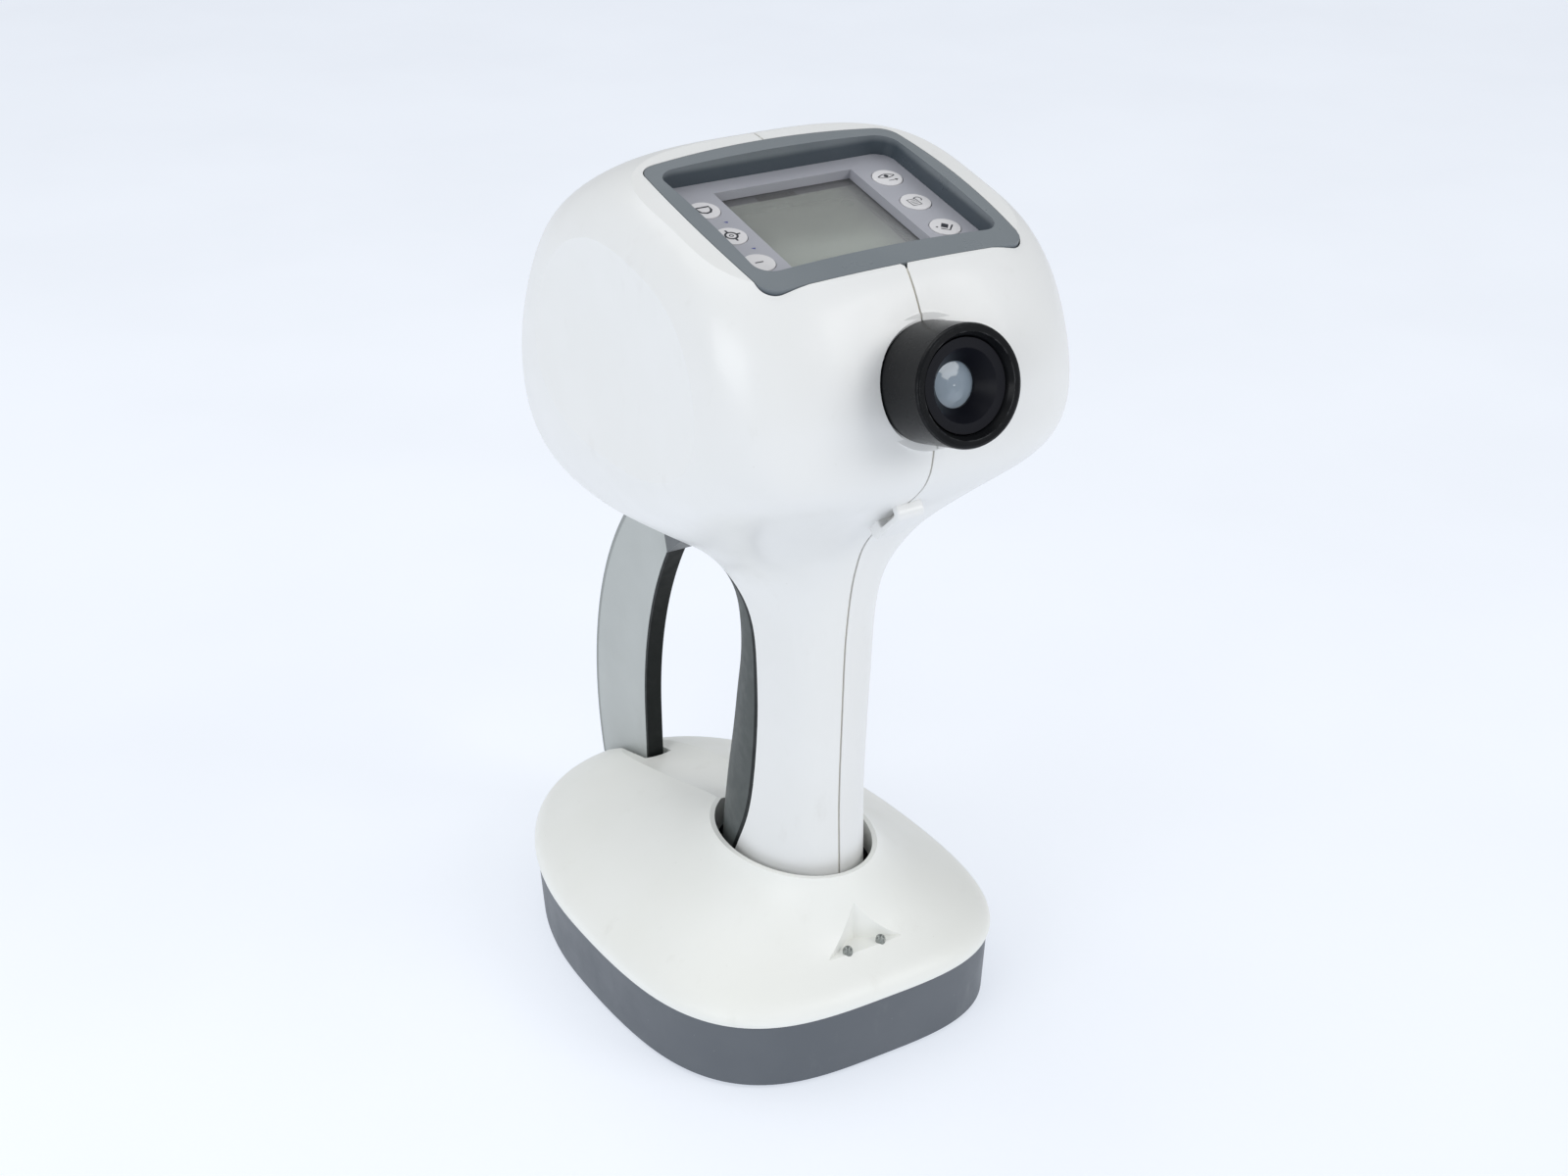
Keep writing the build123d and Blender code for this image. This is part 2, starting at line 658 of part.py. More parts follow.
# ---------------------------------------------------------------- eyepiece and optics
def turned(name, points):
    """Body of revolution about the optical axis from (radius, distance) points."""
    with BuildPart() as body:
        with BuildSketch(AXIS_SECTION):
            with BuildLine():
                Polyline(*points, close=True)
            make_face()
        revolve(axis=OPTICAL_AXIS)
    write(body, name)
    return body


RING_BORE = BARREL_R + 0.08
TUBE_R = 12.0
TUBE_START = 40.0
PLENUM_START = 128.0
PLENUM_END = 156.0
PLENUM_R = 20.0
JET_R = 2.0

turned("focus_ring", [
    (14.6, 0.0), (16.1, 0.0), (16.7, 0.3), (RING_R, 1.0), (RING_R, 18.6), (16.6, RING_LENGTH),
    (RING_BORE, RING_LENGTH), (RING_BORE, 2.4), (13.7, 1.6),
])
turned("ocular_cell", [
    (10.2, 2.2), (13.0, 2.2), (13.0, 11.0), (7.7, 11.0), (7.7, 8.2), (6.4, 8.2), (6.4, 7.4),
])
turned("ocular_lens", [
    (0.0, 7.6), (2.4, 7.7), (4.6, 8.0), (6.0, 8.3), (7.6, 8.3),
    (7.6, 10.2), (5.0, 10.8), (2.6, 11.1), (0.0, 11.2),
])
turned("eyepiece_barrel", [
    (11.0, 13.5), (BARREL_R, 13.5), (BARREL_R, 28.0), (17.0, 28.0), (17.0, 30.0),
    (TUBE_R, 30.0), (TUBE_R, TUBE_START), (11.0, TUBE_START),
])
turned("optical_tube", [
    (10.5, TUBE_START), (TUBE_R, TUBE_START), (TUBE_R, PLENUM_START), (10.5, PLENUM_START),
])
with BuildPart() as beam_splitter:
    splitter_spot = axis_plane(90.0)
    with BuildSketch(splitter_spot.rotated((45, 0, 0))):
        Rectangle(13.0, 16.0)
    extrude(amount=0.5, both=True)
write(beam_splitter, "beam_splitter")

PORT_S = (PLENUM_START + PLENUM_END) / 2 + 1.0
PIPE_R = 2.5
port_spot = axis_plane(PORT_S).origin
with BuildPart() as plenum_chamber:
    with BuildSketch(AXIS_SECTION):
        with BuildLine():
            Polyline(
                (10.5, PLENUM_START), (PLENUM_R, PLENUM_START), (PLENUM_R, PLENUM_END),
                (13.0, PLENUM_END), (13.0, PLENUM_END - 3.0), (17.0, PLENUM_END - 3.0),
                (17.0, PLENUM_START + 3.0), (10.5, PLENUM_START + 3.0), close=True,
            )
        make_face()
    revolve(axis=OPTICAL_AXIS)
    with BuildSketch(Plane(origin=port_spot, x_dir=(0, 1, 0), z_dir=(1, 0, 0))):
        Circle(PIPE_R)
    extrude(amount=30.0, mode=Mode.SUBTRACT)
write(plenum_chamber, "plenum_chamber")
turned("plenum_window", [
    (0.0, PLENUM_START + 3.0), (12.5, PLENUM_START + 3.0), (12.5, PLENUM_START + 5.0),
    (0.0, PLENUM_START + 5.0),
])
turned("objective_lens", [
    (JET_R, PLENUM_END - 6.6), (9.0, PLENUM_END - 6.0), (15.0, PLENUM_END - 5.0),
    (15.0, PLENUM_END - 3.0), (JET_R, PLENUM_END - 3.0),
])
turned("air_nozzle", [
    (1.2, PLENUM_END - 8.0), (JET_R, PLENUM_END - 8.0), (JET_R, 185.0), (1.6, 187.0), (1.2, 187.0),
])
turned("nozzle_housing", [
    (14.0, PLENUM_END), (NOZZLE_R, PLENUM_END), (NOZZLE_R, 181.5), (19.5, 184.0), (15.0, 184.0),
    (15.0, 180.0), (17.5, 178.4), (17.5, PLENUM_END + 2.5), (14.0, PLENUM_END + 2.5),
])
turned("front_window", [
    (JET_R, 176.4), (17.5, 176.4), (17.5, 178.4), (JET_R, 178.4),
])

with BuildPart() as pressure_sensor:
    with BuildSketch(Plane(origin=port_spot, x_dir=(0, 1, 0), z_dir=(-1, 0, 0)).offset(PLENUM_R)):
        Rectangle(14.0, 12.0)
    extrude(amount=8.0)
write(pressure_sensor, "pressure_sensor")

# ---------------------------------------------------------------- air pump
PORT_Z = 249.5
CYLINDER_LOW = 222.0
CYLINDER_TOP = 255.0
CYLINDER_CAP = 2.5
PISTON_LOW = 228.0
PISTON_TOP = 236.0
pump_origin = (PUMP_X, PUMP_Y)

with BuildPart() as pump_cylinder:
    with BuildSketch(Plane.XY.offset(CYLINDER_LOW)):
        with Locations(pump_origin):
            Circle(PISTON_R + 2.05)
    extrude(amount=CYLINDER_TOP - CYLINDER_LOW)
    with BuildSketch(Plane.XY.offset(CYLINDER_LOW)):
        with Locations(pump_origin):
            Circle(PISTON_R + 0.05)
    extrude(amount=CYLINDER_TOP - CYLINDER_CAP - CYLINDER_LOW, mode=Mode.SUBTRACT)
    with BuildSketch(Plane(origin=(PUMP_X, PUMP_Y, PORT_Z), x_dir=(1, 0, 0), z_dir=(0, 1, 0))):
        Circle(PIPE_R)
    extrude(amount=20.0, mode=Mode.SUBTRACT)
write(pump_cylinder, "pump_cylinder")

with BuildPart() as pump_piston:
    with BuildSketch(Plane.XY.offset(PISTON_LOW)):
        with Locations(pump_origin):
            Circle(PISTON_R)
    extrude(amount=PISTON_TOP - PISTON_LOW)
write(pump_piston, "pump_piston")

PLUNGER_R = 5.9
PLUNGER_LOW = 186.2
PLUNGER_TOP = 203.0
with BuildPart() as pump_plunger:
    with BuildSketch(Plane.XY.offset(PLUNGER_LOW)):
        with Locations(pump_origin):
            Circle(PLUNGER_R)
    extrude(amount=PLUNGER_TOP - PLUNGER_LOW)
    with BuildSketch(Plane.XY.offset(PLUNGER_TOP)):
        with Locations(pump_origin):
            Circle(2.5)
    extrude(amount=PISTON_LOW - PLUNGER_TOP)
write(pump_plunger, "pump_plunger")

SPRING_R = 8.0
SPRING_WIRE = 0.5
SPRING_LENGTH = CYLINDER_TOP - CYLINDER_CAP - PISTON_TOP - 2 * SPRING_WIRE - 0.1
with BuildPart() as return_spring:
    with BuildLine():
        Helix(
            pitch=SPRING_LENGTH / 3,
            height=SPRING_LENGTH,
            radius=SPRING_R,
            center=(PUMP_X, PUMP_Y, PISTON_TOP + SPRING_WIRE + 0.05),
        )
    with BuildSketch(
        Plane(
            origin=(PUMP_X + SPRING_R, PUMP_Y, PISTON_TOP + SPRING_WIRE + 0.05),
            x_dir=(1, 0, 0),
            z_dir=(0, 1, 0),
        )
    ):
        Circle(SPRING_WIRE)
    sweep()
write(return_spring, "return_spring")

FRAME_LOW = 182.8
FRAME_TOP = 212.0
FRAME_WALL = 3.0
with BuildPart() as solenoid_frame:
    with BuildSketch(Plane.XY.offset(FRAME_LOW)):
        with Locations(pump_origin):
            Rectangle(27.0, 24.0)
    extrude(amount=FRAME_TOP - FRAME_LOW)
    with BuildSketch(Plane.XY.offset(FRAME_LOW + FRAME_WALL)):
        with Locations(pump_origin):
            Rectangle(21.0, 24.0)
    extrude(amount=FRAME_TOP - FRAME_LOW - 2 * FRAME_WALL, mode=Mode.SUBTRACT)
    with BuildSketch(Plane.XY.offset(FRAME_TOP - FRAME_WALL)):
        with Locations(pump_origin):
            Circle(PLUNGER_R + 0.4)
    extrude(amount=FRAME_WALL, mode=Mode.SUBTRACT)
    with BuildSketch(Plane.XY.offset(FRAME_TOP)):
        with Locations((PUMP_X - 12.0, PUMP_Y), (PUMP_X + 12.0, PUMP_Y)):
            Rectangle(3.0, 8.0)
    extrude(amount=CYLINDER_LOW - FRAME_TOP)
write(solenoid_frame, "solenoid_frame")

with BuildPart() as solenoid_coil:
    with BuildSketch(Plane.XY.offset(FRAME_LOW + FRAME_WALL)):
        with Locations(pump_origin):
            Circle(10.4)
            Circle(PLUNGER_R + 0.4, mode=Mode.SUBTRACT)
    extrude(amount=FRAME_TOP - FRAME_LOW - 2 * FRAME_WALL)
write(solenoid_coil, "solenoid_coil")

PIPE_BEND = 9.0
pipe_y = port_spot.Y
with BuildPart() as air_pipe:
    with BuildLine():
        FilletPolyline(
            (PUMP_X, PUMP_Y + PISTON_R + 0.4, PORT_Z),
            (PUMP_X, pipe_y, PORT_Z),
            (PUMP_X, pipe_y, port_spot.Z),
            (17.6, pipe_y, port_spot.Z),
            radius=PIPE_BEND,
        )
    with BuildSketch(
        Plane(
            origin=(PUMP_X, PUMP_Y + PISTON_R + 0.4, PORT_Z), x_dir=(1, 0, 0), z_dir=(0, 1, 0)
        )
    ):
        Circle(PIPE_R)
        Circle(1.7, mode=Mode.SUBTRACT)
    sweep()
write(air_pipe, "air_pipe")

# ---------------------------------------------------------------- stand
COVER_WALL = 2.2
COLLAR_LOW = 49.0
COLLAR_WALL = 1.2
SHELF_Z = 37.2
LIGHT_R = 1.6
LIGHT_SPOTS = {"left": (-6.24, -62.1), "right": (6.24, -62.1)}
NOTCH_HALF_X = 5.4
NOTCH_WALL = 1.2
NOTCH_Y = 74.8
NOTCH_FLOOR = 15.2
PLATE_THICK = 2.0
BOSS_SPOTS = [(-50.0, -8.0), (50.0, -8.0), (-42.0, 56.0), (42.0, 56.0)]
BOSS_R = 4.0
TROUGH_R = 30.0
TROUGH_FLOOR_Z = 60.9        # the trough's floor line where it passes over the origin
TROUGH_FALL = 0.241


def ellipse_face(height, grow=0.0):
    with BuildSketch(Plane.XY.offset(height)) as face:
        with Locations((0, WELL_Y)):
            Ellipse(WELL_HALF_X + grow, WELL_HALF_Y + grow)
    return face.sketch


def trough(radius):
    """Finger trough behind the handle, falling towards the guard's notch."""
    start = (0, 0, TROUGH_FLOOR_Z + TROUGH_R)
    fall = Vector(0, 1, -TROUGH_FALL)
    with BuildPart() as cutter:
        with BuildSketch(Plane(origin=start, x_dir=(1, 0, 0), z_dir=fall)):
            Circle(radius)
        extrude(amount=130.0)
    return cutter.part


def shelf(grow, low):
    """Prism over the indicator shelf, a triangle that points at the handle."""
    with BuildPart() as prism:
        with BuildSketch(Plane.XY.offset(low)):
            Polygon(
                (-28.2 - grow, -70.0), (28.2 + grow, -70.0), (0.0, -55.6 + grow), align=None
            )
        extrude(amount=40.0)
    return prism.part


def notch_box(half_x, front_y, low, high):
    with BuildPart() as box:
        with BuildSketch(Plane.XY.offset(low)):
            with Locations((0, (front_y + 120.0) / 2)):
                Rectangle(2 * half_x, 120.0 - front_y)
        extrude(amount=high - low)
    return box.part


with BuildPart() as cover_outside:
    add(cover_form())
    add(trough(TROUGH_R), mode=Mode.SUBTRACT)

with BuildPart() as cover_inside:
    add(cover_form(COVER_WALL, COVER_WALL))
    add(trough(TROUGH_R + COVER_WALL), mode=Mode.SUBTRACT)
    add(shelf(3.0, SHELF_Z - COVER_WALL), mode=Mode.SUBTRACT)

with BuildPart() as notch_lining:
    add(cover_outside)
    add(notch_box(NOTCH_HALF_X + NOTCH_WALL, NOTCH_Y - NOTCH_WALL, HOUSING_TOP, 60.0),
        mode=Mode.INTERSECT)

# Screw bosses hang from the cover's underside down to the bottom plate.
with BuildPart() as boss_tops:
    with BuildSketch(Plane.XY.offset(HOUSING_TOP)):
        with Locations(*BOSS_SPOTS):
            Circle(BOSS_R)
    extrude(amount=40.0)
    add(cover_outside, mode=Mode.INTERSECT)

with BuildPart() as stand_cover:
    add(cover_outside)
    add(cover_inside, mode=Mode.SUBTRACT)
    add(boss_tops)
    with BuildSketch(Plane.XY.offset(FOOT_H + PLATE_THICK)):
        with Locations(*BOSS_SPOTS):
            Circle(BOSS_R)
    extrude(amount=HOUSING_TOP - FOOT_H - PLATE_THICK)
    with BuildSketch(Plane.XY.offset(FOOT_H + PLATE_THICK)):
        with Locations(*BOSS_SPOTS):
            Circle(SCREW_R)
    extrude(amount=18.0, mode=Mode.SUBTRACT)
    with BuildSketch(Plane.XY.offset(COLLAR_LOW)):
        add(ellipse_face(0.0, COLLAR_WALL))
    extrude(amount=58.6 - COLLAR_LOW)
    add(notch_lining)
    with BuildSketch(Plane.XY.offset(40.0)):
        add(ellipse_face(0.0))
    extrude(amount=40.0, mode=Mode.SUBTRACT)
    add(shelf(0.0, SHELF_Z), mode=Mode.SUBTRACT)
    with BuildSketch(Plane.XY.offset(30.0)):
        with Locations(*LIGHT_SPOTS.values()):
            Circle(LIGHT_R)
    extrude(amount=10.0, mode=Mode.SUBTRACT)
    add(notch_box(NOTCH_HALF_X, NOTCH_Y, HOUSING_TOP - 1.0, 60.0), mode=Mode.SUBTRACT)
write(stand_cover, "stand_cover")

for side_name, spot in LIGHT_SPOTS.items():
    with BuildPart() as light:
        with BuildSketch(Plane.XY.offset(31.0)):
            with Locations(spot):
                Circle(LIGHT_R)
        extrude(amount=7.0)
        with Locations((spot[0], spot[1], 38.0)):
            Sphere(LIGHT_R)
    write(light, f"status_light_{side_name}")

OUTLINE = COVER_CONTOURS[0][1:]
HOUSING_WALL = 2.4
with BuildPart() as housing_form:
    loft(sections=[egg(FOOT_H, *OUTLINE, inset=1.9), egg(HOUSING_TOP, *OUTLINE, inset=0.6)])

with BuildPart() as housing_hollow:
    loft(sections=[
        egg(FOOT_H, *OUTLINE, inset=1.9 + HOUSING_WALL),
        egg(HOUSING_TOP, *OUTLINE, inset=0.6 + HOUSING_WALL),
    ])

INLET_Y = 34.0
INLET_Z = 13.0
INLET_R = 5.0
with BuildPart() as stand_housing:
    add(housing_form)
    add(housing_hollow, mode=Mode.SUBTRACT)
    add(notch_box(NOTCH_HALF_X + NOTCH_WALL, NOTCH_Y - NOTCH_WALL, NOTCH_FLOOR - NOTCH_WALL, 30.0),
        mode=Mode.SUBTRACT)
    with BuildSketch(Plane.YZ.offset(50.0)):
        with Locations((INLET_Y, INLET_Z)):
            Circle(INLET_R)
    extrude(amount=30.0, mode=Mode.SUBTRACT)
write(stand_housing, "stand_housing")

with BuildPart() as guard_socket:
    add(housing_form)
    add(notch_box(NOTCH_HALF_X + NOTCH_WALL, NOTCH_Y - NOTCH_WALL, NOTCH_FLOOR - NOTCH_WALL,
                  HOUSING_TOP), mode=Mode.INTERSECT)
    add(notch_box(NOTCH_HALF_X, NOTCH_Y, NOTCH_FLOOR, 30.0), mode=Mode.SUBTRACT)
write(guard_socket, "guard_socket")

WELL_POSTS = [(-15.0, -36.0), (15.0, -36.0), (-15.0, 0.0), (15.0, 0.0)]
with BuildPart() as bottom_plate:
    add(egg(FOOT_H, *OUTLINE, inset=1.9 + HOUSING_WALL + 0.2))
    extrude(amount=PLATE_THICK)
    with BuildSketch(Plane.XY.offset(FOOT_H + PLATE_THICK)):
        with Locations(*WELL_POSTS):
            Circle(3.0)
    extrude(amount=WELL_FLOOR - COLLAR_WALL - FOOT_H - PLATE_THICK)
    with BuildSketch(Plane.XY.offset(FOOT_H)):
        with Locations(*BOSS_SPOTS):
            Circle(SCREW_R + 0.1)
    extrude(amount=PLATE_THICK, mode=Mode.SUBTRACT)
    with BuildSketch(Plane.XY.offset(FOOT_H)):
        with Locations(*BOSS_SPOTS):
            Circle(SCREW_HEAD_R + 0.2)
    extrude(amount=1.2, mode=Mode.SUBTRACT)
write(bottom_plate, "bottom_plate")

with BuildPart() as stand_screws:
    with BuildSketch(Plane.XY.offset(FOOT_H + 0.1)):
        with Locations(*BOSS_SPOTS):
            Circle(SCREW_HEAD_R)
            RegularPolygon(1.2, 6, mode=Mode.SUBTRACT)
    extrude(amount=1.1)
    with BuildSketch(Plane.XY.offset(FOOT_H + 1.2)):
        with Locations(*BOSS_SPOTS):
            Circle(SCREW_R)
    extrude(amount=11.0)
write(stand_screws, "stand_screws")

FOOT_SPOTS = [(-42.0, -46.0), (42.0, -46.0), (-34.0, 74.0), (34.0, 74.0)]
with BuildPart() as rubber_feet:
    with BuildSketch():
        with Locations(*FOOT_SPOTS):
            Circle(6.5)
    extrude(amount=FOOT_H)
write(rubber_feet, "rubber_feet")

with BuildPart() as ballast:
    with BuildSketch(Plane.XY.offset(FOOT_H + PLATE_THICK)):
        with Locations((0, 47.0)):
            RectangleRounded(64.0, 46.0, 6.0)
    extrude(amount=9.0)
write(ballast, "ballast")

with BuildPart() as handle_well:
    with BuildSketch(Plane.XY.offset(WELL_FLOOR - COLLAR_WALL)):
        add(ellipse_face(0.0, COLLAR_WALL))
    extrude(amount=COLLAR_LOW - WELL_FLOOR + COLLAR_WALL)
    with BuildSketch(Plane.XY.offset(WELL_FLOOR)):
        add(ellipse_face(0.0))
    extrude(amount=COLLAR_LOW - WELL_FLOOR, mode=Mode.SUBTRACT)
    with BuildSketch(Plane.XY.offset(WELL_FLOOR - COLLAR_WALL)):
        with Locations((-CONTACT_X, WELL_Y), (CONTACT_X, WELL_Y)):
            Circle(1.06)
    extrude(amount=COLLAR_WALL, mode=Mode.SUBTRACT)
write(handle_well, "handle_well")

PCB_Z = 5.5
with BuildPart() as charger_board:
    with BuildSketch(Plane.XY.offset(PCB_Z)):
        with Locations((0, WELL_Y)):
            Rectangle(22.0, 44.0)
    extrude(amount=1.6)
    with BuildSketch(Plane.XY.offset(FOOT_H + PLATE_THICK)):
        with Locations(*[(x, WELL_Y + y) for x in (-8.0, 8.0) for y in (-19.0, 19.0)]):
            Circle(1.6)
    extrude(amount=PCB_Z - FOOT_H - PLATE_THICK)
write(charger_board, "charger_board")

with BuildPart() as pin_sleeves:
    with BuildSketch(Plane.XY.offset(PCB_Z + 1.6)):
        with Locations((-CONTACT_X, WELL_Y), (CONTACT_X, WELL_Y)):
            Circle(1.9)
            Circle(1.06, mode=Mode.SUBTRACT)
    extrude(amount=WELL_FLOOR - COLLAR_WALL - PCB_Z - 1.6)
write(pin_sleeves, "pin_sleeves")

for side_name, side in (("left", -1), ("right", 1)):
    with BuildPart() as pin:
        with BuildSketch(Plane.XY.offset(8.6)):
            with Locations((side * CONTACT_X, WELL_Y)):
                Circle(1.0)
        extrude(amount=5.4)
        fillet(pin.faces().sort_by(Axis.Z)[-1].edges(), radius=0.6)
    write(pin, f"charge_pin_{side_name}")

with BuildPart() as power_inlet:
    with BuildSketch(Plane.YZ.offset(52.0)):
        with Locations((INLET_Y, INLET_Z)):
            Circle(INLET_R - 0.05)
            Circle(2.75, mode=Mode.SUBTRACT)
    extrude(amount=11.6)
    with BuildSketch(Plane.YZ.offset(50.0)):
        with Locations((INLET_Y, INLET_Z)):
            Circle(INLET_R - 0.05)
    extrude(amount=2.0)
    with BuildSketch(Plane.YZ.offset(52.0)):
        with Locations((INLET_Y, INLET_Z)):
            Circle(0.9)
    extrude(amount=9.0)
write(power_inlet, "power_inlet")
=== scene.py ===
import json
import math

import bmesh
import bpy
from mathutils import Matrix, Vector


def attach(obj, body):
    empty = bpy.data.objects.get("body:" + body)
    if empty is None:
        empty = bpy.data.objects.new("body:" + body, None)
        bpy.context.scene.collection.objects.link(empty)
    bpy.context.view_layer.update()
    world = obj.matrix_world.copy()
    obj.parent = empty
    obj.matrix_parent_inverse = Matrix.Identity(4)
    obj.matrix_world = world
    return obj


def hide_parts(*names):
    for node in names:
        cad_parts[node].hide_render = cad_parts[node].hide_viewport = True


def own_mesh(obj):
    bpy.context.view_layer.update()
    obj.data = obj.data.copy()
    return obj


# Looks for the handheld air-puff tonometer in its charging stand.
# Metres, +Z up; the operator's side (eyepiece, display) faces -Y.

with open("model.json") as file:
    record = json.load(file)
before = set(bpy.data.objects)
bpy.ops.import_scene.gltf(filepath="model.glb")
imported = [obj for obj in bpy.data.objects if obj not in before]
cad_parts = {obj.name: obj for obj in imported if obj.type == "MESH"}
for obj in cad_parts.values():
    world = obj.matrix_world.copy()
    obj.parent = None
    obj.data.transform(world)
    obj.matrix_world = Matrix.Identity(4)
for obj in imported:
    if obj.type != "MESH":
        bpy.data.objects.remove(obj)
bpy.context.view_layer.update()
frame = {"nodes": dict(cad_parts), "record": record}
nodes = frame["nodes"]
MM = 0.001


# ---------------------------------------------------------------- material graphs
class Graph:
    """A material's node tree with short calls for the nodes used below."""

    def __init__(self, name):
        self.material = bpy.data.materials.new(name)
        self.material.use_nodes = True
        self.tree = self.material.node_tree
        self.shader = self.tree.nodes["Principled BSDF"]
        self.place = self.tree.nodes.new("ShaderNodeTexCoord").outputs["Object"]

    def link(self, source, target):
        self.tree.links.new(source, target)

    def set(self, **values):
        for socket, value in values.items():
            self.shader.inputs[socket.replace("_", " ")].default_value = value

    def noise(self, size_mm, detail=3.0, roughness=0.5, stretch=(1, 1, 1)):
        """Noise whose blotches are about size_mm across, from 0 to 1."""
        mapping = self.tree.nodes.new("ShaderNodeMapping")
        mapping.inputs["Scale"].default_value = stretch
        self.link(self.place, mapping.inputs["Vector"])
        noise = self.tree.nodes.new("ShaderNodeTexNoise")
        noise.inputs["Scale"].default_value = 1.0 / (size_mm * MM)
        noise.inputs["Detail"].default_value = detail
        noise.inputs["Roughness"].default_value = roughness
        self.link(mapping.outputs["Vector"], noise.inputs["Vector"])
        return noise.outputs["Fac"]

    def cells(self, size_mm):
        """Distance to the nearest of scattered points about size_mm apart."""
        cells = self.tree.nodes.new("ShaderNodeTexVoronoi")
        cells.inputs["Scale"].default_value = 1.0 / (size_mm * MM)
        self.link(self.place, cells.inputs["Vector"])
        return cells.outputs["Distance"]

    def curve(self, value, low, high, out_low=0.0, out_high=1.0):
        """Smooth step of value between low and high, mapped to the output range."""
        step = self.tree.nodes.new("ShaderNodeMapRange")
        step.interpolation_type = "SMOOTHSTEP"
        step.inputs["From Min"].default_value = low
        step.inputs["From Max"].default_value = high
        step.inputs["To Min"].default_value = out_low
        step.inputs["To Max"].default_value = out_high
        self.link(value, step.inputs["Value"])
        return step.outputs["Result"]

    def math(self, operation, first, second=0.0):
        node = self.tree.nodes.new("ShaderNodeMath")
        node.operation = operation
        for index, value in enumerate((first, second)):
            if isinstance(value, (int, float)):
                node.inputs[index].default_value = value
            else:
                self.link(value, node.inputs[index])
        return node.outputs["Value"]

    def mix(self, share, first, second):
        """Colour mix; first and second are colours or sockets."""
        node = self.tree.nodes.new("ShaderNodeMix")
        node.data_type = "RGBA"
        self.link(share, node.inputs["Factor"])
        for socket, value in (("A", first), ("B", second)):
            target = [s for s in node.inputs if s.name == socket and s.type == "RGBA"][0]
            if isinstance(value, tuple):
                target.default_value = (*value, 1.0)
            else:
                self.link(value, target)
        return [s for s in node.outputs if s.type == "RGBA"][0]

    def axes(self, place=None):
        split = self.tree.nodes.new("ShaderNodeSeparateXYZ")
        self.link(place or self.place, split.inputs["Vector"])
        return split.outputs["X"], split.outputs["Y"], split.outputs["Z"]

    def bump(self, *layers):
        """Stacks (height socket, depth in mm, strength) bumps onto the shader's normal."""
        below = None
        for height, depth_mm, strength in layers:
            bump = self.tree.nodes.new("ShaderNodeBump")
            bump.inputs["Distance"].default_value = depth_mm * MM
            bump.inputs["Strength"].default_value = strength
            self.link(height, bump.inputs["Height"])
            if below is not None:
                self.link(below, bump.inputs["Normal"])
            below = bump.outputs["Normal"]
        self.link(below, self.shader.inputs["Normal"])

    def edge_highlight(self, radius_mm, amount=1.0):
        """1 on exposed edges, 0 elsewhere, broken up by noise; the mask for painted edge
        highlights.
        """
        bevel = self.tree.nodes.new("ShaderNodeBevel")
        bevel.samples = 4
        bevel.inputs["Radius"].default_value = radius_mm * MM
        geometry = self.tree.nodes.new("ShaderNodeNewGeometry")
        dot = self.tree.nodes.new("ShaderNodeVectorMath")
        dot.operation = "DOT_PRODUCT"
        self.link(bevel.outputs["Normal"], dot.inputs[0])
        self.link(geometry.outputs["Normal"], dot.inputs[1])
        edge = self.curve(dot.outputs["Value"], 0.98, 0.86)
        broken = self.curve(self.noise(3.0, 4.0, 0.6), 0.42, 0.6, 0.0, amount)
        return self.math("MULTIPLY", edge, broken)


def moulded(name, colour, tint, roughness, grain_mm=0.35, grain_depth=0.012, grime=None,
            coat=0.0, specular=0.5):
    """Injection-moulded plastic: spark texture, faint flow blotches, handling marks."""
    g = Graph(name)
    blotch = g.curve(g.noise(38.0, 3.0, 0.55), 0.3, 0.7)
    base = g.mix(blotch, colour, tint)
    if grime:
        smear = g.curve(g.noise(11.0, 6.0, 0.65, (1.0, 1.0, 0.5)), 0.58, 0.82, 0.0, 0.25)
        speck = g.curve(g.cells(9.0), 0.03, 0.018, 0.0, 0.4)
        base = g.mix(smear, base, grime)
        base = g.mix(speck, base, grime)
    g.link(base, g.shader.inputs["Base Color"])
    handled = g.noise(16.0, 5.0, 0.6)
    g.link(g.curve(handled, 0.3, 0.75, roughness - 0.05, roughness + 0.07),
           g.shader.inputs["Roughness"])
    g.set(Coat_Weight=coat, Coat_Roughness=0.12, Specular_IOR_Level=specular)
    g.bump((g.noise(grain_mm, 2.0, 0.6), grain_depth, 0.35), (g.noise(26.0, 2.0), 0.05, 0.06))
    return g


def rubbery(name, colour, tint, roughness, grain_mm=0.5, depth=0.03, sheen=0.12):
    """Soft-touch rubber: matt, slightly dusty, with a fine pebble grain."""
    g = Graph(name)
    dust = g.curve(g.noise(7.0, 6.0, 0.7), 0.45, 0.78)
    base = g.mix(dust, colour, tint)
    g.link(base, g.shader.inputs["Base Color"])
    g.link(g.curve(g.noise(4.0, 4.0), 0.3, 0.7, roughness - 0.06, roughness + 0.06),
           g.shader.inputs["Roughness"])
    g.set(Sheen_Weight=sheen, Sheen_Roughness=0.5, Specular_IOR_Level=0.25)
    g.bump((g.cells(grain_mm), depth, 0.5), (g.noise(0.25, 2.0), 0.01, 0.4))
    return g


def metal(name, colour, tint, roughness, stretch=(1, 1, 1), line_mm=0.4, depth=0.004):
    """Bare or plated metal with tool lines drawn out along one direction."""
    g = Graph(name)
    lines = g.noise(line_mm, 4.0, 0.6, stretch)
    g.link(g.mix(g.curve(lines, 0.3, 0.7), colour, tint), g.shader.inputs["Base Color"])
    g.link(g.curve(g.noise(5.0, 5.0, 0.65), 0.3, 0.7, roughness - 0.06, roughness + 0.08),
           g.shader.inputs["Roughness"])
    g.set(Metallic=1.0)
    g.bump((lines, depth, 0.4))
    return g


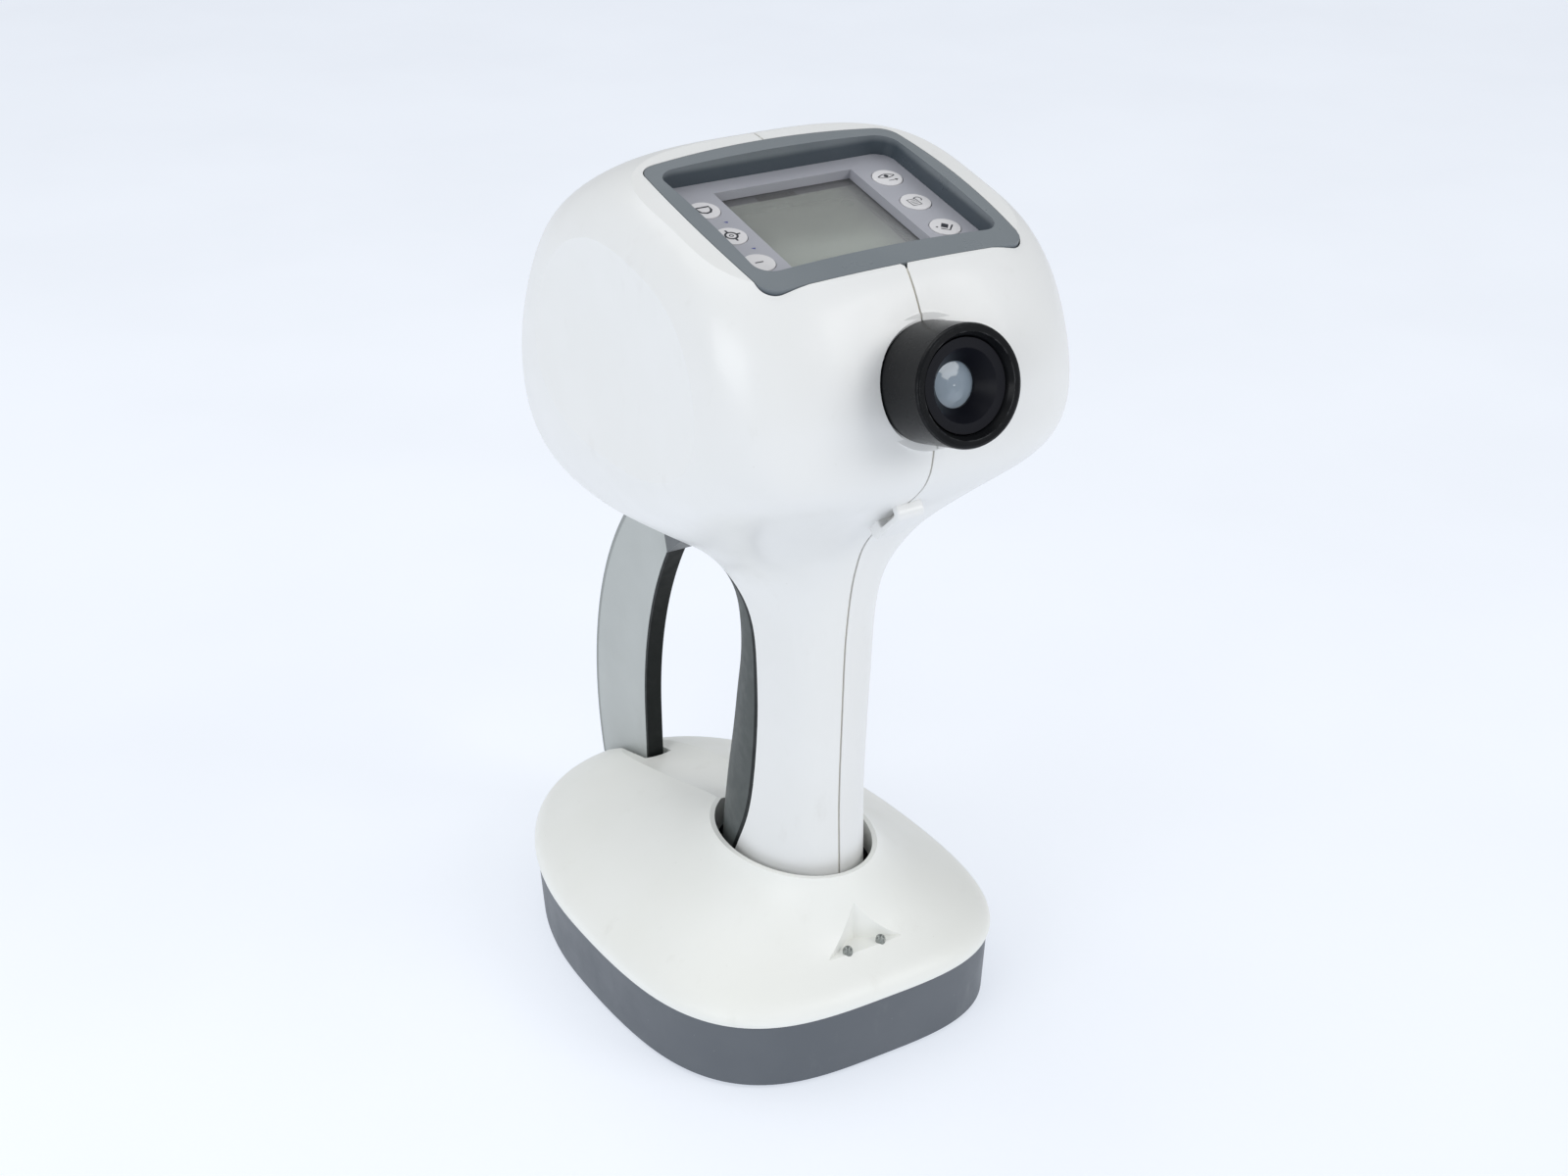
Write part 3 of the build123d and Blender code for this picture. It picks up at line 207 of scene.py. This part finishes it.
def glassy(name, colour, roughness, ior=1.5, smear=True, transmission=1.0, alpha=1.0):
    """Clear glass or acrylic with faint wipe marks."""
    g = Graph(name)
    marks = g.noise(14.0, 6.0, 0.7, (1.0, 2.4, 1.0))
    g.link(g.mix(g.curve(marks, 0.35, 0.75), colour, tuple(c * 0.97 for c in colour)),
           g.shader.inputs["Base Color"])
    high = roughness + (0.05 if smear else 0.01)
    g.link(g.curve(marks, 0.45, 0.8, roughness, high), g.shader.inputs["Roughness"])
    g.set(Transmission_Weight=transmission, IOR=ior, Alpha=alpha)
    g.bump((g.noise(30.0, 2.0), 0.01, 0.02))
    return g


# ---------------------------------------------------------------- display frame of reference
TILT = math.radians(13.8)             # the display and the optical axis share this tilt
DISPLAY_MIDDLE = Vector((0.0, -43.0 * MM, 276.2 * MM))
DISPLAY_UP = Vector((0.0, -math.sin(TILT), math.cos(TILT)))
DISPLAY_BACK = Vector((0.0, math.cos(TILT), math.sin(TILT)))
PANEL_DEPTH = 5.3                     # below the display's corner plane, mm
KEY_TOP_DEPTH = 5.0


def on_display(x_mm, v_mm, depth_mm):
    """Point at x across, v up the slope and depth below the display's corner plane."""
    return (DISPLAY_MIDDLE + Vector((x_mm * MM, 0, 0)) + DISPLAY_BACK * (v_mm * MM)
            - DISPLAY_UP * (depth_mm * MM))


# ---------------------------------------------------------------- materials
WARM_WHITE = (0.86, 0.865, 0.83)
COOL_WHITE = (0.80, 0.805, 0.80)


def make_materials():
    """One material for each slot of the record."""
    made = {}
    made["white_shell"] = moulded("white_shell", COOL_WHITE, (0.785, 0.79, 0.78), 0.34,
                                  grime=(0.62, 0.61, 0.58), coat=0.12)
    made["cover_white"] = moulded("cover_white", WARM_WHITE, (0.845, 0.85, 0.81), 0.42,
                                  grime=(0.66, 0.65, 0.60))
    made["grip_rubber"] = rubbery("grip_rubber", (0.068, 0.078, 0.076), (0.09, 0.10, 0.098), 0.56,
                                  sheen=0.06)
    made["black_trim"] = rubbery("black_trim", (0.004, 0.006, 0.006), (0.009, 0.011, 0.011), 0.5,
                                 sheen=0.0)
    made["bezel_grey"] = bezel_finish("bezel_grey")
    made["panel_grey"] = moulded("panel_grey", (0.37, 0.375, 0.415), (0.395, 0.40, 0.44), 0.33,
                                 grain_mm=0.25, grain_depth=0.006)
    made["key_white"] = moulded("key_white", (0.74, 0.73, 0.745), (0.70, 0.69, 0.70), 0.34,
                                grain_mm=0.25, grain_depth=0.005, grime=(0.5, 0.5, 0.5))
    made["window_clear"] = glassy("window_clear", (0.93, 0.94, 0.95), 0.08, 1.49,
                                  transmission=0.0, alpha=0.10)
    made["ring_black"] = ring_finish("ring_black")
    made["cell_black"] = moulded("cell_black", (0.004, 0.0045, 0.008), (0.007, 0.0075, 0.011), 0.42,
                                 grain_mm=0.3, grain_depth=0.006, specular=0.14)
    made["ocular_glass"] = glassy("ocular_glass", (0.50, 0.60, 0.70), 0.02, 1.55, smear=False,
                                  transmission=0.5)
    made["lens_glass"] = glassy("lens_glass", (0.94, 0.97, 0.98), 0.01, 1.6, smear=False)
    made["barrel_aluminium"] = metal("barrel_aluminium", (0.10, 0.10, 0.105), (0.13, 0.13, 0.135),
                                     0.36, (0.2, 6, 6))
    made["nozzle_steel"] = metal("nozzle_steel", (0.62, 0.63, 0.64), (0.55, 0.56, 0.57), 0.2)
    made["pump_aluminium"] = metal("pump_aluminium", (0.68, 0.69, 0.70), (0.6, 0.61, 0.62), 0.3,
                                   (0.3, 0.3, 5))
    made["piston_plastic"] = moulded("piston_plastic", (0.6, 0.59, 0.53), (0.64, 0.63, 0.57), 0.42)
    made["steel"] = metal("steel", (0.52, 0.53, 0.54), (0.44, 0.45, 0.46), 0.28)
    made["spring_steel"] = metal("spring_steel", (0.5, 0.5, 0.51), (0.42, 0.42, 0.43), 0.25)
    made["coil_copper"] = metal("coil_copper", (0.72, 0.32, 0.14), (0.6, 0.24, 0.1), 0.28,
                                (0.2, 0.2, 8), 0.5, 0.1)
    made["pipe_rubber"] = rubbery("pipe_rubber", (0.018, 0.018, 0.02), (0.04, 0.04, 0.042), 0.55)
    made["board_green"] = circuit_board("board_green")
    made["battery_blue"] = moulded("battery_blue", (0.02, 0.05, 0.15), (0.025, 0.06, 0.17), 0.28)
    made["guard_grey"] = guard_finish("guard_grey")
    made["bracket_grey"] = moulded("bracket_grey", (0.10, 0.11, 0.115), (0.12, 0.13, 0.135), 0.42)
    made["stand_grey"] = moulded("stand_grey", (0.097, 0.110, 0.127), (0.110, 0.123, 0.14), 0.46,
                                 grain_mm=0.4, grain_depth=0.02, grime=(0.26, 0.27, 0.27))
    made["well_grey"] = moulded("well_grey", (0.07, 0.08, 0.085), (0.085, 0.095, 0.10), 0.5)
    made["foot_rubber"] = rubbery("foot_rubber", (0.02, 0.02, 0.02), (0.05, 0.05, 0.048), 0.7)
    made["ballast_steel"] = moulded("ballast_steel", (0.03, 0.03, 0.032), (0.05, 0.05, 0.05), 0.45)
    made["contact_gold"] = metal("contact_gold", (0.85, 0.6, 0.22), (0.78, 0.52, 0.18), 0.2)
    made["light_lens"] = glassy("light_lens", (0.80, 0.84, 0.82), 0.05, 1.5, transmission=0.85)
    made["inlet_black"] = moulded("inlet_black", (0.012, 0.012, 0.013), (0.02, 0.02, 0.021), 0.38)
    made["gasket_grey"] = rubbery("gasket_grey", (0.62, 0.59, 0.50), (0.68, 0.65, 0.56), 0.6)
    made["lcd_module"] = lcd_face("lcd_module")
    made["symbol_ink"] = moulded("symbol_ink", (0.012, 0.014, 0.02), (0.02, 0.022, 0.03), 0.45)
    made["mark_blue"] = moulded("mark_blue", (0.02, 0.03, 0.22), (0.03, 0.04, 0.28), 0.4)
    return made


GUARD_CENTRE = (-9.05, 55.0)         # (y, z) of the guard's outer arc, mm
GUARD_RIM_R = 123.4                  # where the side faces turn into the rounded rim
GUARD_RIM_EDGE = 0.25


def guard_finish(name):
    """Pale grey side faces, with painted shade darkening the rounded rim along the outer edge."""
    g = moulded(name, (0.43, 0.455, 0.445), (0.46, 0.485, 0.475), 0.4, grime=(0.33, 0.33, 0.31))
    pale = g.shader.inputs["Base Color"].links[0].from_socket
    _, y, z = g.axes()
    reach_y = g.math("SUBTRACT", y, GUARD_CENTRE[0] * MM)
    reach_z = g.math("SUBTRACT", z, GUARD_CENTRE[1] * MM)
    reach = g.math("SQRT", g.math("ADD", g.math("MULTIPLY", reach_y, reach_y),
                                  g.math("MULTIPLY", reach_z, reach_z)))
    rim = g.curve(reach, (GUARD_RIM_R - GUARD_RIM_EDGE) * MM,
                  (GUARD_RIM_R + GUARD_RIM_EDGE) * MM)
    # painted shade: the rounded rim along the outer edge is darkened
    g.link(g.mix(rim, pale, (0.27, 0.29, 0.285)), g.shader.inputs["Base Color"])
    return g


def ring_finish(name):
    """Satin black, with a painted highlight making its lips a little paler."""
    g = moulded(name, (0.004, 0.0045, 0.0055), (0.007, 0.0075, 0.0085), 0.27, grain_mm=0.4,
                grain_depth=0.004, specular=0.15)
    black = g.shader.inputs["Base Color"].links[0].from_socket
    # painted highlight: paler colour on the lips' edges, broken up by noise
    g.link(g.mix(g.edge_highlight(0.5, 0.9), black, (0.09, 0.092, 0.095)), g.shader.inputs["Base Color"])
    return g


def display_axes(g):
    """Across, up the slope and above the display's corner plane, in metres."""
    turn = g.tree.nodes.new("ShaderNodeMapping")
    turn.vector_type = "TEXTURE"
    turn.inputs["Location"].default_value = DISPLAY_MIDDLE
    turn.inputs["Rotation"].default_value = (TILT, 0, 0)
    g.link(g.place, turn.inputs["Vector"])
    return g.axes(turn.outputs["Vector"])


RECESS_START = 0.6                   # heights above the corner plane between which the bezel's rim turns into the recess wall with its painted shade, mm
RECESS_DEEP = -1.6                   # bezel's rim turns into the darker recess wall, mm


def bezel_finish(name):
    """Blue-grey plastic, with dust on the rim and painted shade darkening the recess wall."""
    g = moulded(name, (0.165, 0.188, 0.205), (0.18, 0.203, 0.22), 0.32, grain_mm=0.3,
                grime=(0.32, 0.33, 0.33))
    rim = g.shader.inputs["Base Color"].links[0].from_socket
    _, _, up = display_axes(g)
    # painted shade: darker down the recess wall, below the bezel's rim
    recess_shade = g.curve(up, RECESS_START * MM, RECESS_DEEP * MM)
    g.link(g.mix(recess_shade, rim, (0.055, 0.072, 0.088)), g.shader.inputs["Base Color"])
    return g


def circuit_board(name):
    """Green solder mask over a hatch of copper tracks and plated holes."""
    g = Graph(name)
    x, _, _ = g.axes()
    track_mm = 1.3
    lines = g.math("SINE", g.math("MULTIPLY", x, 2 * math.pi / (track_mm * MM)))
    broken = g.noise(6.0, 2.0, 0.4, (0.25, 1.0, 1.0))
    tracks = g.math("MULTIPLY", g.curve(lines, 0.3, 0.6), g.curve(broken, 0.48, 0.52))
    base = g.mix(tracks, (0.012, 0.10, 0.045), (0.025, 0.19, 0.08))
    holes = g.curve(g.cells(3.2), 0.13, 0.1)
    base = g.mix(holes, base, (0.55, 0.45, 0.22))
    g.link(base, g.shader.inputs["Base Color"])
    g.link(g.curve(broken, 0.3, 0.7, 0.25, 0.4), g.shader.inputs["Roughness"])
    g.set(Coat_Weight=0.3, Coat_Roughness=0.1)
    g.bump((tracks, 0.05, 0.5))
    return g


LCD_HALF = 23.9                       # half size of the square of glass that can light up
LCD_EDGE = 0.3                        # half width of its soft edge
LCD_MIDDLE_V = -0.5
SLOT_V = 24.6                         # dark slot along the glass's far edge
SLOT_HALF_V = 1.35
SLOT_X = -2.5
SLOT_HALF_X = 6.6
SLOT_EDGES = (0.2, 0.15)              # half widths of its soft edges, across and up


def lcd_face(name):
    """Unlit grey-green liquid-crystal glass with its dark frame, a dark slot, and painted shadow
    darkening its right side.
    """
    g = Graph(name)
    x, v, _ = display_axes(g)

    def within(place, middle, half, edge):
        """1 nearer to the middle than half, falling to 0 over a soft edge (all in mm)."""
        away = g.math("ABSOLUTE", g.math("SUBTRACT", place, middle * MM))
        return g.curve(away, (half + edge) * MM, (half - edge) * MM)

    active = g.math("MULTIPLY", within(x, 0.0, LCD_HALF, LCD_EDGE),
                    within(v, LCD_MIDDLE_V, LCD_HALF, LCD_EDGE))
    cloud = g.curve(g.noise(30.0, 4.0, 0.6), 0.3, 0.7)
    glass = g.mix(cloud, (0.46, 0.495, 0.445), (0.50, 0.535, 0.485))
    # painted shadow: the glass darkens towards its right side
    side = g.curve(x, 12 * MM, 26 * MM, 0.0, 0.6)
    glass = g.mix(side, glass, (0.22, 0.205, 0.265))
    base = g.mix(active, (0.13, 0.13, 0.155), glass)
    slot = g.math("MULTIPLY", within(x, SLOT_X, SLOT_HALF_X, SLOT_EDGES[0]),
                  within(v, SLOT_V, SLOT_HALF_V, SLOT_EDGES[1]))
    base = g.mix(slot, base, (0.01, 0.01, 0.012))
    g.link(base, g.shader.inputs["Base Color"])
    g.link(g.curve(g.noise(2.0, 3.0), 0.3, 0.7, 0.28, 0.36), g.shader.inputs["Roughness"])
    g.bump((g.noise(0.3, 2.0), 0.004, 0.3))
    return g


# ---------------------------------------------------------------- mesh helpers
def new_piece(name, mesh, body, graph):
    """Puts a mesh in the scene, fixed to a body, and gives it a material."""
    piece = bpy.data.objects.new(name, mesh)
    bpy.context.scene.collection.objects.link(piece)
    piece.data.materials.append(graph.material)
    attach(piece, body)
    return piece


def ribbon(mesh, points, width, place, closed=False):
    """Adds a flat printed line through 2-D points (mm) to mesh; place maps (x, v) to 3-D."""
    count = len(points)
    left, right = [], []
    for index, point in enumerate(points):
        before = points[(index - 1) % count] if closed or index else points[0]
        after = points[(index + 1) % count] if closed or index < count - 1 else points[-1]
        run = Vector((after[0] - before[0], after[1] - before[1]))
        run.normalize()
        side = Vector((-run.y, run.x)) * (width / 2)
        left.append(mesh.verts.new(place(point[0] + side.x, point[1] + side.y)))
        right.append(mesh.verts.new(place(point[0] - side.x, point[1] - side.y)))
    last = count if closed else count - 1
    for index in range(last):
        step = (index + 1) % count
        mesh.faces.new((left[index], right[index], right[step], left[step]))


def patch(mesh, points, place):
    """Adds a filled flat outline of 2-D points (mm) to mesh."""
    mesh.faces.new([mesh.verts.new(place(x, v)) for x, v in points])


def circle_points(radius, centre=(0.0, 0.0), start=0.0, end=360.0, count=28):
    """Points round an arc; a full turn leaves out the repeated last point."""
    full = abs(end - start) >= 360.0
    steps = count if full else count - 1
    angles = [math.radians(start + (end - start) * i / steps) for i in range(count)]
    return [(centre[0] + radius * math.cos(a), centre[1] + radius * math.sin(a)) for a in angles]


# ---------------------------------------------------------------- printed symbols
KEY_X = 31.0                          # key centres on the display, mm
KEY_ROWS = {"upper": 17.3, "middle": 1.9, "lower": -13.6}
INK_THICK = 0.03
LINE = 0.62                           # width of the crosshair's lines


def symbol_shield(mesh, place):
    """A rounded tab, open at the top."""
    outline = [(-2.1, 1.5), (2.1, 1.5), (2.0, -0.3), (1.2, -1.5), (-0.2, -1.9), (-1.6, -1.2),
               (-2.1, 0.0)]
    ribbon(mesh, outline, 0.7, place, closed=True)


def symbol_crosshair(mesh, place):
    """A ring with a dot in it and four ticks round it."""
    ribbon(mesh, circle_points(1.75), LINE, place, closed=True)
    ribbon(mesh, circle_points(0.55, count=16), 0.3, place, closed=True)
    for turn in (0, 90, 180, 270):
        a = math.radians(turn + 8)
        spoke = [(math.cos(a) * r, math.sin(a) * r) for r in (1.9, 3.1)]
        ribbon(mesh, spoke, LINE, place)


def symbol_minus(mesh, place):
    """A short bar."""
    ribbon(mesh, [(-1.3, 0.0), (1.3, 0.0)], 0.5, place)


def symbol_eye(mesh, place):
    """An eye over a short arrow."""
    upper = [(-2.8 + 0.4 * i, 0.7 + 1.15 * math.sin(math.pi * i / 14)) for i in range(15)]
    lower = [(-2.8 + 0.4 * i, 0.7 - 0.95 * math.sin(math.pi * i / 14)) for i in range(15)]
    ribbon(mesh, upper, 0.36, place)
    ribbon(mesh, lower, 0.3, place)
    patch(mesh, circle_points(0.75, (0.0, 0.75), count=18), place)
    ribbon(mesh, [(-0.6, -1.9), (1.9, -1.9)], 0.3, place)
    patch(mesh, [(1.7, -1.3), (1.7, -2.5), (2.7, -1.9)], place)


def symbol_page(mesh, place):
    """A sheet with lines on it and a turning arrow beside it."""
    sheet = [(-2.3, 1.4), (0.6, 1.4), (0.9, -2.0), (-2.0, -2.0)]
    ribbon(mesh, sheet, 0.36, place, closed=True)
    for row in (-1.1, -0.3, 0.5):
        ribbon(mesh, [(-1.6, row), (0.3, row)], 0.2, place)
    ribbon(mesh, circle_points(1.15, (1.3, 1.0), -60, 160, 14), 0.32, place)


def symbol_printer(mesh, place):
    """A leaning sheet over a tray, with a dot beside it."""
    patch(mesh, [(-1.5, 0.1), (0.0, 2.0), (1.5, 0.6), (0.1, -1.2)], place)
    ribbon(mesh, [(-1.9, -0.7), (0.2, -2.3), (2.5, 0.1)], 0.5, place)
    patch(mesh, circle_points(0.35, (-2.6, 0.4), count=10), place)


SYMBOLS = {
    "left_upper": symbol_shield,
    "left_middle": symbol_crosshair,
    "left_lower": symbol_minus,
    "right_upper": symbol_eye,
    "right_middle": symbol_page,
    "right_lower": symbol_printer,
}


def print_symbols(materials):
    """A generic pictogram on each key, which moves with the key."""
    for key, draw in SYMBOLS.items():
        side_name, row_name = key.split("_")
        key_x = KEY_X if side_name == "right" else -KEY_X
        key_v = KEY_ROWS[row_name]
        ink = bmesh.new()
        draw(ink, lambda x, v: on_display(key_x + x, key_v + v, KEY_TOP_DEPTH - INK_THICK))
        mesh = bpy.data.meshes.new("symbol_" + key)
        bmesh.ops.recalc_face_normals(ink, faces=ink.faces)
        ink.to_mesh(mesh)
        ink.free()
        new_piece("symbol_" + key, mesh, "key_" + key, materials["symbol_ink"])


ARROW_ROWS = (9.3, -6.2)              # between the upper, middle and lower keys


def print_panel_marks(materials):
    """Two small arrowheads on the panel between the left keys."""
    marks = bmesh.new()
    for v in ARROW_ROWS:
        tip = [(-KEY_X + 1.9, v + 0.5), (-KEY_X + 3.3, v + 0.5), (-KEY_X + 2.9, v - 0.4)]
        patch(marks, tip, lambda x, w: on_display(x, w, PANEL_DEPTH - INK_THICK))
    mesh = bpy.data.meshes.new("panel_marks")
    marks.to_mesh(mesh)
    marks.free()
    new_piece("panel_marks", mesh, "instrument", materials["mark_blue"])


# ---------------------------------------------------------------- CAD nodes' finish
def dress_nodes(materials):
    """Gives every CAD node its slot's material; the front lens has a coated glass of its own."""
    slots = {row["node"]: row["material_slot"] for row in frame["record"]["subparts"]}
    for name, node in nodes.items():
        node.data.materials.clear()
        finish = "ocular_glass" if name == "ocular_lens" else slots[name]
        node.data.materials.append(materials[finish].material)


def add_spring(materials):
    """The return spring, copied from the CAD coil in spring steel with the CAD node hidden; the
    copy keeps its shape as the piston rises, though the real spring flattens under the cylinder's
    closed end.
    """
    wire = nodes["return_spring"]
    coil = bpy.data.objects.new("return_spring_coil", wire.data.copy())
    bpy.context.scene.collection.objects.link(coil)
    coil.matrix_world = wire.matrix_world
    coil.data.materials.clear()
    coil.data.materials.append(materials["spring_steel"].material)
    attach(coil, "instrument")
    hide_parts("return_spring")
    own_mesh(coil)


# ---------------------------------------------------------------- stage
FLOOR_SIZE = 6.0
FLOOR_PLACE = (0, 1.0, 0)
FLOOR_GLOW = 0.63


def add_floor():
    """A light table: part of the floor's brightness is its own, so the shadow stays faint."""
    g = Graph("pale_floor")
    cloth = g.curve(g.noise(220.0, 3.0), 0.3, 0.7)
    g.link(g.mix(cloth, (0.43, 0.435, 0.44), (0.40, 0.405, 0.41)), g.shader.inputs["Base Color"])
    g.set(Emission_Color=(0.845, 0.90, 1.0, 1.0), Emission_Strength=FLOOR_GLOW)
    g.link(g.curve(g.noise(40.0, 3.0), 0.3, 0.7, 0.55, 0.65), g.shader.inputs["Roughness"])
    g.bump((g.noise(160.0, 3.0), 1.2, 0.15))
    bpy.ops.mesh.primitive_plane_add(size=FLOOR_SIZE, location=FLOOR_PLACE)
    floor = bpy.context.object
    floor.name = "floor"
    floor.data.materials.append(g.material)


def add_light(name, place, target, size, power, colour):
    """A rectangular soft box at place, facing target."""
    data = bpy.data.lights.new(name, "AREA")
    data.shape = "RECTANGLE"
    data.size, data.size_y = size
    data.energy = power
    data.color = colour
    light = bpy.data.objects.new(name, data)
    bpy.context.scene.collection.objects.link(light)
    light.location = place
    light.rotation_euler = (Vector(target) - Vector(place)).to_track_quat("-Z", "Y").to_euler()


BACKDROP = ((0.865, 0.91, 0.99, 1.0), 0.98)        # colour and strength as the camera sees it
SKY_LAMP = ((0.93, 0.96, 1.0, 1.0), 0.52)          # and as it lights the object
LIGHTS_TARGET = (0, 0, 0.15)
SOFT_BOXES = [                                     # name, place, size, power, colour
    ("overhead", (-0.35, 0.35, 1.4), (1.2, 1.0), 5.0, (1.0, 1.0, 0.99)),
    ("key", (0.75, -1.25, 0.95), (0.8, 0.8), 8.2, (1.0, 0.99, 0.97)),
    ("fill", (-1.35, -0.5, 0.7), (0.9, 0.7), 6.3, (0.96, 0.98, 1.0)),
]


def add_lights():
    """A pale backdrop, dimmer as a lamp than it looks, and three soft boxes."""
    world = bpy.data.worlds.new("studio")
    world.use_nodes = True
    tree = world.node_tree
    seen = tree.nodes["Background"]
    lamp = tree.nodes.new("ShaderNodeBackground")
    for shader, (colour, strength) in ((seen, BACKDROP), (lamp, SKY_LAMP)):
        shader.inputs["Color"].default_value = colour
        shader.inputs["Strength"].default_value = strength
    path = tree.nodes.new("ShaderNodeLightPath")
    blend = tree.nodes.new("ShaderNodeMixShader")
    tree.links.new(path.outputs["Is Camera Ray"], blend.inputs["Fac"])
    tree.links.new(lamp.outputs["Background"], blend.inputs[1])
    tree.links.new(seen.outputs["Background"], blend.inputs[2])
    tree.links.new(blend.outputs["Shader"], tree.nodes["World Output"].inputs["Surface"])
    bpy.context.scene.world = world
    bpy.context.scene.view_settings.view_transform = "Standard"
    for name, place, size, power, colour in SOFT_BOXES:
        add_light(name, place, LIGHTS_TARGET, size, power, colour)


# ---------------------------------------------------------------- camera
CAMERA_PLACE = (-0.3489, -0.5926, 0.4656)
CAMERA_AZIMUTH = math.radians(-31.13)
CAMERA_ELEVATION = math.radians(25.39)
CAMERA_ROLL = math.radians(-0.61)
LENS_MM = 54.35
SENSOR_MM = 36.0


def add_camera():
    """Looks down on the operator's left side of the instrument."""
    azimuth, elevation, roll = CAMERA_AZIMUTH, CAMERA_ELEVATION, CAMERA_ROLL
    back = Vector((math.sin(azimuth) * math.cos(elevation),
                   -math.cos(azimuth) * math.cos(elevation), math.sin(elevation)))
    level = Vector((math.cos(azimuth), math.sin(azimuth), 0.0))
    upright = back.cross(level)
    right = level * math.cos(roll) + upright * math.sin(roll)
    up = upright * math.cos(roll) - level * math.sin(roll)
    data = bpy.data.cameras.new("camera")
    data.sensor_width = SENSOR_MM
    data.lens = LENS_MM
    camera = bpy.data.objects.new("camera", data)
    bpy.context.scene.collection.objects.link(camera)
    turn = Matrix((right, up, back)).transposed().to_4x4()
    camera.matrix_world = Matrix.Translation(CAMERA_PLACE) @ turn
    bpy.context.scene.camera = camera


# ---------------------------------------------------------------- build
materials = make_materials()
dress_nodes(materials)
print_symbols(materials)
print_panel_marks(materials)
add_spring(materials)
add_floor()
add_lights()
add_camera()
